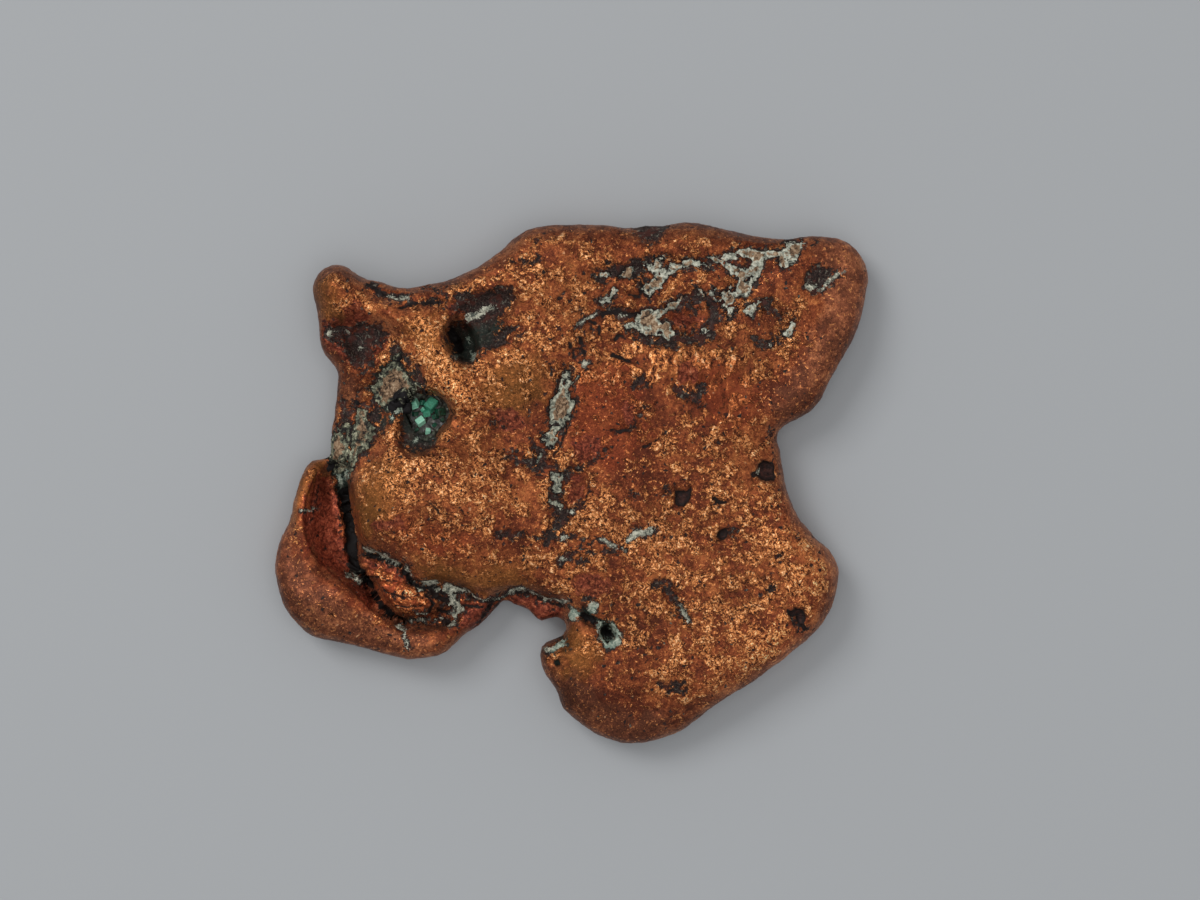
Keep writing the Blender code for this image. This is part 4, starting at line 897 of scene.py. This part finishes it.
# Place, width, turns in degrees, and how bright a green it is: partly its own colour, partly
# painted light.
CRYSTALS = [
    ((41.4, 40.45), 1.0, (24, -18, 20), 0.9), ((43.2, 40.5), 1.2, (-16, 20, 50), 0.55),
    ((42.7, 41.35), 0.7, (30, 14, 10), 0.7), ((42.1, 42.15), 0.85, (-26, 12, 35), 1.0),
    ((42.85, 43.15), 0.55, (20, -34, 70), 1.0), ((44.1, 41.2), 0.9, (14, 34, 15), 0.2),
    ((41.0, 41.1), 0.45, (-34, 10, 60), 0.5), ((42.3, 40.3), 0.5, (34, 10, 80), 0.4),
    ((43.6, 41.7), 0.55, (-20, -30, 25), 0.3), ((41.6, 41.4), 0.5, (10, 38, 5), 0.3),
    ((42.4, 41.0), 0.45, (-30, -16, 45), 0.8), ((43.5, 42.5), 0.4, (24, 30, 65), 0.3),
    ((41.7, 43.0), 0.4, (-14, 26, 30), 0.25), ((42.0, 44.0), 0.35, (30, -20, 0), 0.3),
    ((43.0, 39.9), 0.4, (-30, 30, 75), 0.3), ((44.3, 42.0), 0.4, (10, 20, 35), 0.2),
]
blocks = [crust]
for (x, y), width, turns, bright in CRYSTALS:
    middle = off_sheet(np.array([[x, y, CRUST_TOP + 0.1 + 0.25 * width]]))[0]
    turned = [math.radians(turn) for turn in turns]
    bpy.ops.object.select_all(action="DESELECT")
    bpy.ops.mesh.primitive_cube_add(size=width * MM, location=middle, rotation=turned)
    block = bpy.context.active_object
    block.scale = BLOCK
    bpy.ops.object.transform_apply()
    modify(block, "BEVEL", width=0.06 * width * MM, segments=1)
    store(block.data, "crystal", np.full(len(block.data.vertices), bright))
    blocks.append(block)
bpy.ops.object.select_all(action="DESELECT")
for block in blocks:
    block.select_set(True)
bpy.context.view_layer.objects.active = crust
bpy.ops.object.join()
print("malachite:", len(crust.data.polygons), "faces")

# %% [markdown]
# Materials. Colours are written as they look on a screen, and one function turns them to linear
# light. Another adds a node: it takes the node's inputs, each a number, a colour or another node's
# output, then its settings, and gives back one of its outputs. Every pattern is read in real
# millimetres, from the object's own coordinates.

# %% Helpers for materials
PLUS, MINUS, TIMES, MOST, SIZE, PLUS_TIMES = (
    {"operation": kind}
    for kind in ("ADD", "SUBTRACT", "MULTIPLY", "MAXIMUM", "ABSOLUTE", "MULTIPLY_ADD")
)
SMOOTH = {"interpolation_type": "SMOOTHSTEP"}
# A Mix node has all its sockets at once: 2 and 3 take the numbers to mix, and 6 and 7 the colours.
COLOUR_MIX = {"data_type": "RGBA", "out": 2}


def linear(code):
    """A colour written as it looks on a screen, in linear light."""
    parts = [int(code[i : i + 2], 16) / 255 for i in (1, 3, 5)]
    return [c / 12.92 if c <= 0.04045 else ((c + 0.055) / 1.055) ** 2.4 for c in parts] + [1.0]


def connect(tree, node, inputs):
    """Links each input that is another node's output, and sets the others."""
    for name, value in inputs.items():
        if isinstance(value, bpy.types.NodeSocket):
            tree.links.new(value, node.inputs[name])
        else:
            node.inputs[name].default_value = linear(value) if isinstance(value, str) else value


def add(tree, kind, inputs=None, out=0, stops=None, **settings):
    """A new node's output. The stops are a colour ramp's places and colours."""
    node = tree.nodes.new("ShaderNode" + kind)
    for name, value in settings.items():
        setattr(node, name, value)
    connect(tree, node, inputs or {})
    if stops:
        elements = node.color_ramp.elements
        while len(elements) < len(stops):
            elements.new(0.5)
        for element, (at, colour) in zip(elements, stops):
            element.position, element.color = at, linear(colour)
    return node.outputs[out]


def start(name):
    """A new material, its shader's inputs to connect, its own add, and places in millimetres."""
    material = bpy.data.materials.new(name)
    material.use_nodes = True
    tree = material.node_tree
    node = functools.partial(add, tree)
    place = node("TexCoord", out="Object")
    finish = functools.partial(connect, tree, tree.nodes["Principled BSDF"])
    return material, finish, node, node("Mapping", {"Vector": place, "Scale": (1 / MM,) * 3})


def curled(node, mm, waves, push):
    """Places pushed about by a soft noise, so that a pattern read there curls."""
    swirl = node("TexNoise", {"Vector": mm, "Scale": waves, "Detail": 3.0}, out="Color")
    swirl = node("VectorMath", {0: swirl, 1: (0.5,) * 3}, operation="SUBTRACT")
    return node("VectorMath", {0: swirl, 1: (push,) * 3, 2: mm}, operation="MULTIPLY_ADD")


def dress(thing, material):
    thing.data.materials.clear()
    thing.data.materials.append(material)


print("colours in linear light, such as", [round(c, 3) for c in linear("#b2683b")])

# %% [markdown]
# Native copper, worn by water. Where grit keeps it bright it is rough, orange metal; between the
# bright grains lies a thin brown oxide, and the hollows are purple-black. The grains are 0.1 to
# 0.5 mm across. They could be modelled, but that would take millions of faces, so they are noise.

# %% Copper: the marks and the noises it reads
copper_finish, finish, node, mm = start("native copper, water-worn")
marks = {name: node("Attribute", out="Fac", attribute_name=name) for name in MARKS}
curl = curled(node, mm, 1.3, 0.9)
drawn = node("Mapping", {"Vector": curl, "Rotation": (0, 0, 0.25), "Scale": (3.0, 0.6, 1.0)})
broad, mid, cluster, bay, grit, fine, worm, comb = (
    node("TexNoise", {"Vector": place, "Scale": waves, "Detail": detail, "Roughness": rough})
    for place, waves, detail, rough in (
        (mm, 0.2, 3.0, 0.5),  # broad: regions of tone
        (mm, 0.9, 7.0, 0.65),  # mid: blotches of tone
        (curl, 0.6, 6.0, 0.62),  # cluster: where the rough metal gathers
        (curl, 1.6, 6.0, 0.7),  # bay: the frayed edges of the tarnish
        (curl, 2.7, 5.0, 0.7),  # grit: the grains
        (curl, 6.2, 4.0, 0.7),  # fine: the grain within the grains
        (curl, 1.5, 3.0, 0.55),  # worm: winding lines between the grains
        (drawn, 1.0, 4.0, 0.65),  # comb: ridges down the sheet
    )
)
print("noises set")

# %% Copper: flecks, sparks and crevices
# The metal is rough in clusters, more of them where it is fresh and fewer on the worn rim.
density = node("Math", {0: marks["fresh"], 1: 0.06, 2: cluster}, **PLUS_TIMES)
density = node("Math", {0: marks["steep"], 1: -0.14, 2: density}, **PLUS_TIMES)
rough_metal = node("MapRange", {"Value": density, "From Min": 0.44, "From Max": 0.57}, **SMOOTH)
share = node("MapRange", {"Value": rough_metal, "To Min": 0.35, "To Max": 1.0})

# In a cluster the noise's peaks are bright flecks, the highest get a painted highlight (sparks),
# and its lows are dark.
# A noise stays near 0.5, so a peak begins a little above that and a crevice a little below.
level = node("Math", {0: grit, 1: 0.6}, **TIMES)
level = node("Math", {0: fine, 1: 0.4, 2: level}, **PLUS_TIMES)
combed = node("Math", {0: marks["combed"], 1: 0.55}, **TIMES)
level = node("Mix", {0: combed, 2: level, 3: comb})
peak = node("Math", {0: rough_metal, 1: 0.085, 2: level}, **PLUS_TIMES)

# Thin dark lines wind between the grains, where this noise passes through its middle value.
worm = node("Math", {0: worm, 1: 0.5}, **MINUS)
worm = node("Math", {0: worm}, **SIZE)
fleck, spark, crevice, worm = (
    node("MapRange", {"Value": value, "From Min": begins, "From Max": full}, **SMOOTH)
    for value, begins, full in (
        (peak, 0.5625, 0.615), (peak, 0.632, 0.678), (level, 0.475, 0.41), (worm, 0.026, 0.004)
    )
)
crevice = node("Math", {0: crevice, 1: worm}, **MOST)
crevice = node("Math", {0: crevice, 1: share}, **TIMES)
print("flecks and crevices set")

# %% Copper: pinprick pits and painted glints
# A cell pattern gives each cell a chance. High ones hold a pit, and low ones a painted glint: a
# spot of pale highlight colour. The further a cell's chance is from where they begin, the wider its
# pit or glint.
cells = {"Vector": curl, "Scale": 1.5}
cell = node("TexVoronoi", cells, out="Distance")
chance = node("SeparateColor", {"Color": node("TexVoronoi", cells, out="Color")})
spots = []
for begins, full, widest, soft in ((0.35, 1.0, 0.3, 0.05), (0.3, 0.0, 0.2, 0.06)):
    size = node(
        "MapRange", {"Value": chance, "From Min": begins, "From Max": full, "To Max": widest}
    )
    edge = node("Math", {0: size, 1: cell}, **MINUS)
    spots.append(node("MapRange", {"Value": edge, "From Min": 0.0, "From Max": soft}, **SMOOTH))
pit, glint = spots
glint = node("Math", {0: glint, 1: share}, **TIMES)
spark = node("Math", {0: spark, 1: glint}, **MOST)
print("pits and grains set")

# %% Copper: where each film lies
# A sharp film's edge is frayed by a noise: which noise, how much, and from where to where it fades.
frayed = {}
for name, (wave, fray, begins, full, most) in {
    "chocolate": (bay, 2.0, -0.15, 0.2, 0.85), "tarnish": (bay, 3.4, -0.05, 0.08, 1.0),
    "crack": (fine, 0.4, -0.06, 0.04, 1.0), "coat": (fine, 1.1, -0.03, 0.05, 1.0),
}.items():
    reach = node("Math", {0: wave, 1: fray, 2: -fray / 2}, **PLUS_TIMES)
    reach = node("Math", {0: marks[name], 1: reach}, **PLUS)
    fade = {"Value": reach, "From Min": begins, "From Max": full, "To Max": most}
    frayed[name] = node("MapRange", fade, **SMOOTH)
chocolate, tarnish, crack, coat = frayed.values()
tarnish = node("Math", {0: tarnish, 1: pit}, **MOST)
tarnish = node("Math", {0: tarnish, 1: crack}, **MOST)

# A soft film has no edge to fray, and the gold colour, partly a painted highlight, has none either.
# The last three lie where a noise or a deep cut is.
ruddy, golden, painted_cut_shade, rusty, dust = (
    node("MapRange", {"Value": value, "From Min": low, "From Max": high, "To Max": most}, **SMOOTH)
    for value, low, high, most in (
        (marks["ruddy"], -0.9, 0.9, 0.6), (marks["golden"], -1.2, 1.2, 0.5),
        # From the deep cuts comes painted shade, near black.
        (marks["deep"], -0.2, 0.02, 1.0), (mid, 0.5, 0.6, 0.6), (grit, 0.57, 0.63, 0.6),
    )
)
green_on_dark, green_on_pale = (
    node(
        "MapRange",
        {"Value": marks["verdigris"], "From Min": -0.3, "From Max": full, "To Max": most},
    )
    for full, most in ((0.5, 0.55), (0.3, 0.4))
)
pit_rim = node(
    "MapRange",
    {"Value": marks["crack"], "From Min": 0.12, "From Max": 0.4, "To Min": 1.0, "To Max": 0.3},
)
green_on_dark = node("Math", {0: green_on_dark, 1: tarnish}, **TIMES)
print("films set:", list(frayed))

# %% Copper: its tones
# The tone sums the noises, and fresh metal is a little lighter. Each ramp runs from dark to light.
tone = node("Math", {0: mid, 1: 0.6}, **TIMES)
for part, weight in ((broad, 0.4), (marks["fresh"], 0.03), (level, 0.5)):
    tone = node("Math", {0: part, 1: weight, 2: tone}, **PLUS_TIMES)
tone = node("Math", {0: tone, 1: 0.25}, **MINUS)
body, worn, brown_oxide, dark, pit_floor, pale = (
    node("ValToRGB", {"Fac": value}, stops=stops)
    for value, stops in (
        (tone, [(0.39, "#58291a"), (0.47, "#783b23"), (0.54, "#944f2d"), (0.64, "#b2683b")]),
        (tone, [(0.42, "#65402f"), (0.5, "#7f523c"), (0.6, "#a27051")]),
        (grit, [(0.39, "#401d16"), (0.51, "#783627"), (0.63, "#a85c42")]),
        (fine, [(0.36, "#0e0504"), (0.5, "#22140f"), (0.66, "#4a3833")]),
        (grit, [(0.42, "#1f0e0b"), (0.62, "#4e2a22")]),
        (grit, [(0.38, "#454b45"), (0.48, "#8e8d7d"), (0.6, "#cecbb6")]),
    )
)

# The steep rims and the worn patches take a greyer colour: partly wear by water, partly painted
# light that keeps the rims from going dark. Grit has warmed the rough metal.
rim_wear_and_painted_light = node("Math", {0: marks["steep"], 1: 0.7}, **TIMES)
warm = node("Math", {0: rough_metal, 1: 0.3}, **TIMES)
fleck_colour = node("Mix", {0: ruddy, 6: "#d98c52", 7: "#cc6638"}, **COLOUR_MIX)
# The soft spots and the fine grain scale the colour; where the spots lighten it, that is partly
# painted light.
shade = node("Math", {0: fine, 1: 1.8, 2: 0.09}, **PLUS_TIMES)
shade = node("Math", {0: marks["shade"], 1: shade}, **PLUS)
print("tones set")

# %% Copper: its films laid over one another
# How much of each there is, and its colour, from the bare metal up.
colour = body
for amount, film in (
    # The gold colour below is partly a painted highlight.
    (rim_wear_and_painted_light, worn), (ruddy, "#7e371f"), (golden, "#94622c"), (warm, "#a8663a"),
    # The sparks' pale colour is a painted highlight.
    (fleck, fleck_colour), (spark, "#ffc390"), (crevice, "#2a120b"), (chocolate, brown_oxide),
):
    colour = node("Mix", {0: amount, 6: colour, 7: film}, **COLOUR_MIX)
colour = node("VectorMath", {0: colour, "Scale": shade}, operation="SCALE")

# The tarnish has colours of its own, and so has the pale coat.
pit_floor = node("Mix", {0: pit_rim, 6: pit_floor, 7: "#160b08"}, **COLOUR_MIX)
for amount, film in ((rusty, "#4b2016"), (dust, "#7a7668"), (crack, pit_floor)):
    dark = node("Mix", {0: amount, 6: dark, 7: film}, **COLOUR_MIX)
pale = node("Mix", {0: green_on_pale, 6: pale, 7: "#86a293"}, **COLOUR_MIX)
# Last comes the painted shade in the deep cuts, near black.
for amount, film in (
    (tarnish, dark), (green_on_dark, "#1d3029"), (coat, pale), (painted_cut_shade, "#0d0706")
):
    colour = node("Mix", {0: amount, 6: colour, 7: film}, **COLOUR_MIX)
print("colours set")

# %% Copper: its shine and relief
# A film, or the painted shade in a deep cut, hides the metal's shine. Rough metal stands up most,
# and pits and tarnish lie lower.
covered = node("Math", {0: tarnish, 1: coat}, **MOST)
covered = node("Math", {0: covered, 1: painted_cut_shade}, **MOST)
metal = node("MapRange", {"Value": fleck, "To Min": 0.7, "To Max": 1.0})
metal = node("Mix", {0: covered, 2: metal, 3: 0.0})
rough = node("MapRange", {"Value": fleck, "To Min": 0.5, "To Max": 0.3})
rough = node("Mix", {0: covered, 2: rough, 3: 0.6})
relief = node("MapRange", {"Value": rough_metal, "To Min": 0.15, "To Max": 1.1})
relief = node("Math", {0: level, 1: relief}, **TIMES)
relief = node("Math", {0: pit, 1: -0.4, 2: relief}, **PLUS_TIMES)
relief = node("Math", {0: tarnish, 1: -0.2, 2: relief}, **PLUS_TIMES)
bump = node("Bump", {"Height": relief, "Strength": 0.7, "Distance": 0.2 * MM})
finish({"Base Color": colour, "Metallic": metal, "Roughness": rough, "Normal": bump})
finish({"Specular IOR Level": 0.2})
dress(copper, copper_finish)
print("copper material set")

# %% [markdown]
# The pale mineral: calcite with grains of other minerals in it. It grew in the copper's hollows,
# and water has worn it level with the metal, so it is dull and finely pitted. It is light where its
# edge is thin, browner in the middle of the wide veins, greener where dirt stains it, and speckled
# with black tarnish from the copper round it.

# %% Pale mineral: its noises and tones
pale_mineral, finish, node, mm = start("pale gangue mineral")
depth, stain = (node("Attribute", out="Fac", attribute_name=name) for name in ("depth", "stain"))
curl = curled(node, mm, 1.1, 1.4)
patchy, fine, bay = (
    node("TexNoise", {"Vector": place, "Scale": waves, "Detail": detail, "Roughness": rough})
    for place, waves, detail, rough in (
        (curl, 0.8, 4.0, 0.6),  # patchy: where it is browner or dirtier
        (curl, 2.4, 5.0, 0.7),  # fine: its grain
        (mm, 1.8, 5.0, 0.7),  # bay: its frayed edge
    )
)
dirt = node("Math", {0: patchy, 1: 0.3, 2: -0.2}, **PLUS_TIMES)
fine = node("Math", {0: stain, 1: dirt, 2: fine}, **PLUS_TIMES)
light, green, brown = (
    node("ValToRGB", {"Fac": fine}, stops=stops)
    for stops in (
        [(0.36, "#565a50"), (0.47, "#a3a494"), (0.6, "#dcdac8")],
        [(0.38, "#25261c"), (0.49, "#6c6d5a"), (0.62, "#bab699")],
        [(0.38, "#4a3828"), (0.5, "#876a50"), (0.62, "#b69d80")],
    )
)
print("mineral tones set")

# %% Pale mineral: its brown middle and black edge
inner = node("Math", {0: patchy, 1: 2.2, 2: depth}, **PLUS_TIMES)
inner = node("Math", {0: stain, 1: -0.3, 2: inner}, **PLUS_TIMES)
fray = node("Math", {0: bay, 1: 1.6, 2: -0.8}, **PLUS_TIMES)
reach = node("Math", {0: depth, 1: fray}, **PLUS)
inner, rim, speck = (
    node("MapRange", {"Value": value, "From Min": begins, "From Max": full}, **SMOOTH)
    for value, begins, full in ((inner, 1.28, 1.46), (reach, 0.05, -0.05), (fine, 0.39, 0.35))
)
rim = node("Math", {0: rim, 1: speck}, **MOST)
colour = light
for amount, film in ((stain, green), (inner, brown), (rim, "#151112")):
    colour = node("Mix", {0: amount, 6: colour, 7: film}, **COLOUR_MIX)
bump = node("Bump", {"Height": fine, "Strength": 0.6, "Distance": 0.12 * MM})
finish({"Base Color": colour, "Normal": bump, "Roughness": 0.75, "Specular IOR Level": 0.25})
for thing in minerals.values():
    dress(thing, pale_mineral)
    thing.data.shade_smooth()
print("mineral material on", len(minerals), "pieces")

# %% [markdown]
# Malachite: a green copper carbonate that damp air and water grew on the copper. It lies too deep
# in its hollow to be rubbed, so its crystals keep their glossy faces. Some are given a much brighter
# green than others, partly their own colour and partly painted light on the crystals that catch the
# light, and the crust between them is nearly black. One material does for both, since the mesh says
# which of its points are crystal, and how bright.

# %% Malachite
malachite, finish, node, mm = start("malachite")
fine = node("TexNoise", {"Vector": mm, "Scale": 2.2, "Detail": 6.0, "Roughness": 0.7})
bright = node("Attribute", out="Fac", attribute_name="crystal")
# Each crystal's brightness, partly painted light, lifts its green.
green = node("Math", {0: fine, 1: 0.9, 2: -0.45}, **PLUS_TIMES)
green = node("Math", {0: green, 1: bright}, **PLUS)
crystal, crust_tone = (
    node("ValToRGB", {"Fac": value}, stops=stops)
    for value, stops in (
        (green, [(0.15, "#1c2c1e"), (0.4, "#1f5a45"), (0.75, "#4a9c7d"), (1.0, "#a4e0c2")]),
        (fine, [(0.38, "#120e0b"), (0.52, "#2f2c24"), (0.66, "#646a5a")]),
    )
)
is_crystal = node("MapRange", {"Value": bright, "From Min": 0.05, "From Max": 0.15})
colour = node("Mix", {0: is_crystal, 6: crust_tone, 7: crystal}, **COLOUR_MIX)
finish({"Base Color": colour, "Roughness": 0.35})
dress(crust, malachite)
print("malachite material set")

# %% [markdown]
# Each binding names a piece, the solid it stands for and which of the record's materials it takes.
# Each piece is attached to the body it moves with, and its solid is hidden. The nugget has no
# joints, so everything goes with the one body.

# %% Attach the pieces and hide the solids
bindings = [(copper, "copper_nugget", "native_copper"), (crust, "malachite_crust", "malachite")]
bindings += [(thing, name, "pale_mineral") for name, thing in minerals.items()]
for piece, solid, slot in bindings:
    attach(piece, "root")
    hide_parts(solid)
print([piece.name for piece, _, _ in bindings])

# %% [markdown]
# The floor and the light. The nugget lies on a pale grey card. One broad lamp overhead and a grey
# surrounding give soft shadows, and a smaller lamp gives the metal its glints.

# %% Floor and light
bpy.ops.object.select_all(action="DESELECT")
bpy.ops.mesh.primitive_plane_add(size=1.2, location=(0, 0, 0))
floor = bpy.context.active_object
floor.name = "floor"
card, finish, _, _ = start("matt grey card")
finish({"Base Color": "#a9abad", "Roughness": 0.9})
dress(floor, card)

world = bpy.data.worlds.new("studio")
bpy.context.scene.world = world
world.use_nodes = True
sky = world.node_tree
connect(sky, sky.nodes["Background"], {"Color": "#c4c6c8", "Strength": 0.85})


def lamp(name, place, size, power):
    light = bpy.data.lights.new(name, "AREA")
    light.energy = power
    light.size = size
    thing = bpy.data.objects.new(name, light)
    bpy.context.scene.collection.objects.link(thing)
    thing.location = place
    thing.rotation_euler = (-Vector(place)).to_track_quat("-Z", "Y").to_euler()


lamp("overhead", (0.1, -0.1, 0.9), 0.8, 1.9)
lamp("window", (-0.4, 0.35, 0.6), 0.35, 2.4)
print("lamps:", len(bpy.data.lights))

# %% [markdown]
# The camera looks straight down, a little to the right of the nugget's middle. Its lens is worked
# out from how much of the floor the frame should show.

# %% Camera
LOOKS_AT = (60.0, 45.0)  # on the plan sheet
VIEW_WIDTH = 0.12  # what the frame shows across, in metres, at the height of the nugget's outline
DISTANCE = 0.3
OUTLINE_HEIGHT = 3.5 * MM
centre = off_sheet(np.array([[*LOOKS_AT, 0.0]]))[0]
camera = bpy.data.objects.new("camera", bpy.data.cameras.new("camera"))
bpy.context.scene.collection.objects.link(camera)
camera.location = (centre[0], centre[1], OUTLINE_HEIGHT + DISTANCE)
camera.data.lens = camera.data.sensor_width * DISTANCE / VIEW_WIDTH
camera.data.clip_start = 0.01
bpy.context.scene.camera = camera
bpy.context.scene.view_settings.view_transform = "Standard"
print("lens:", round(camera.data.lens, 1), "mm")
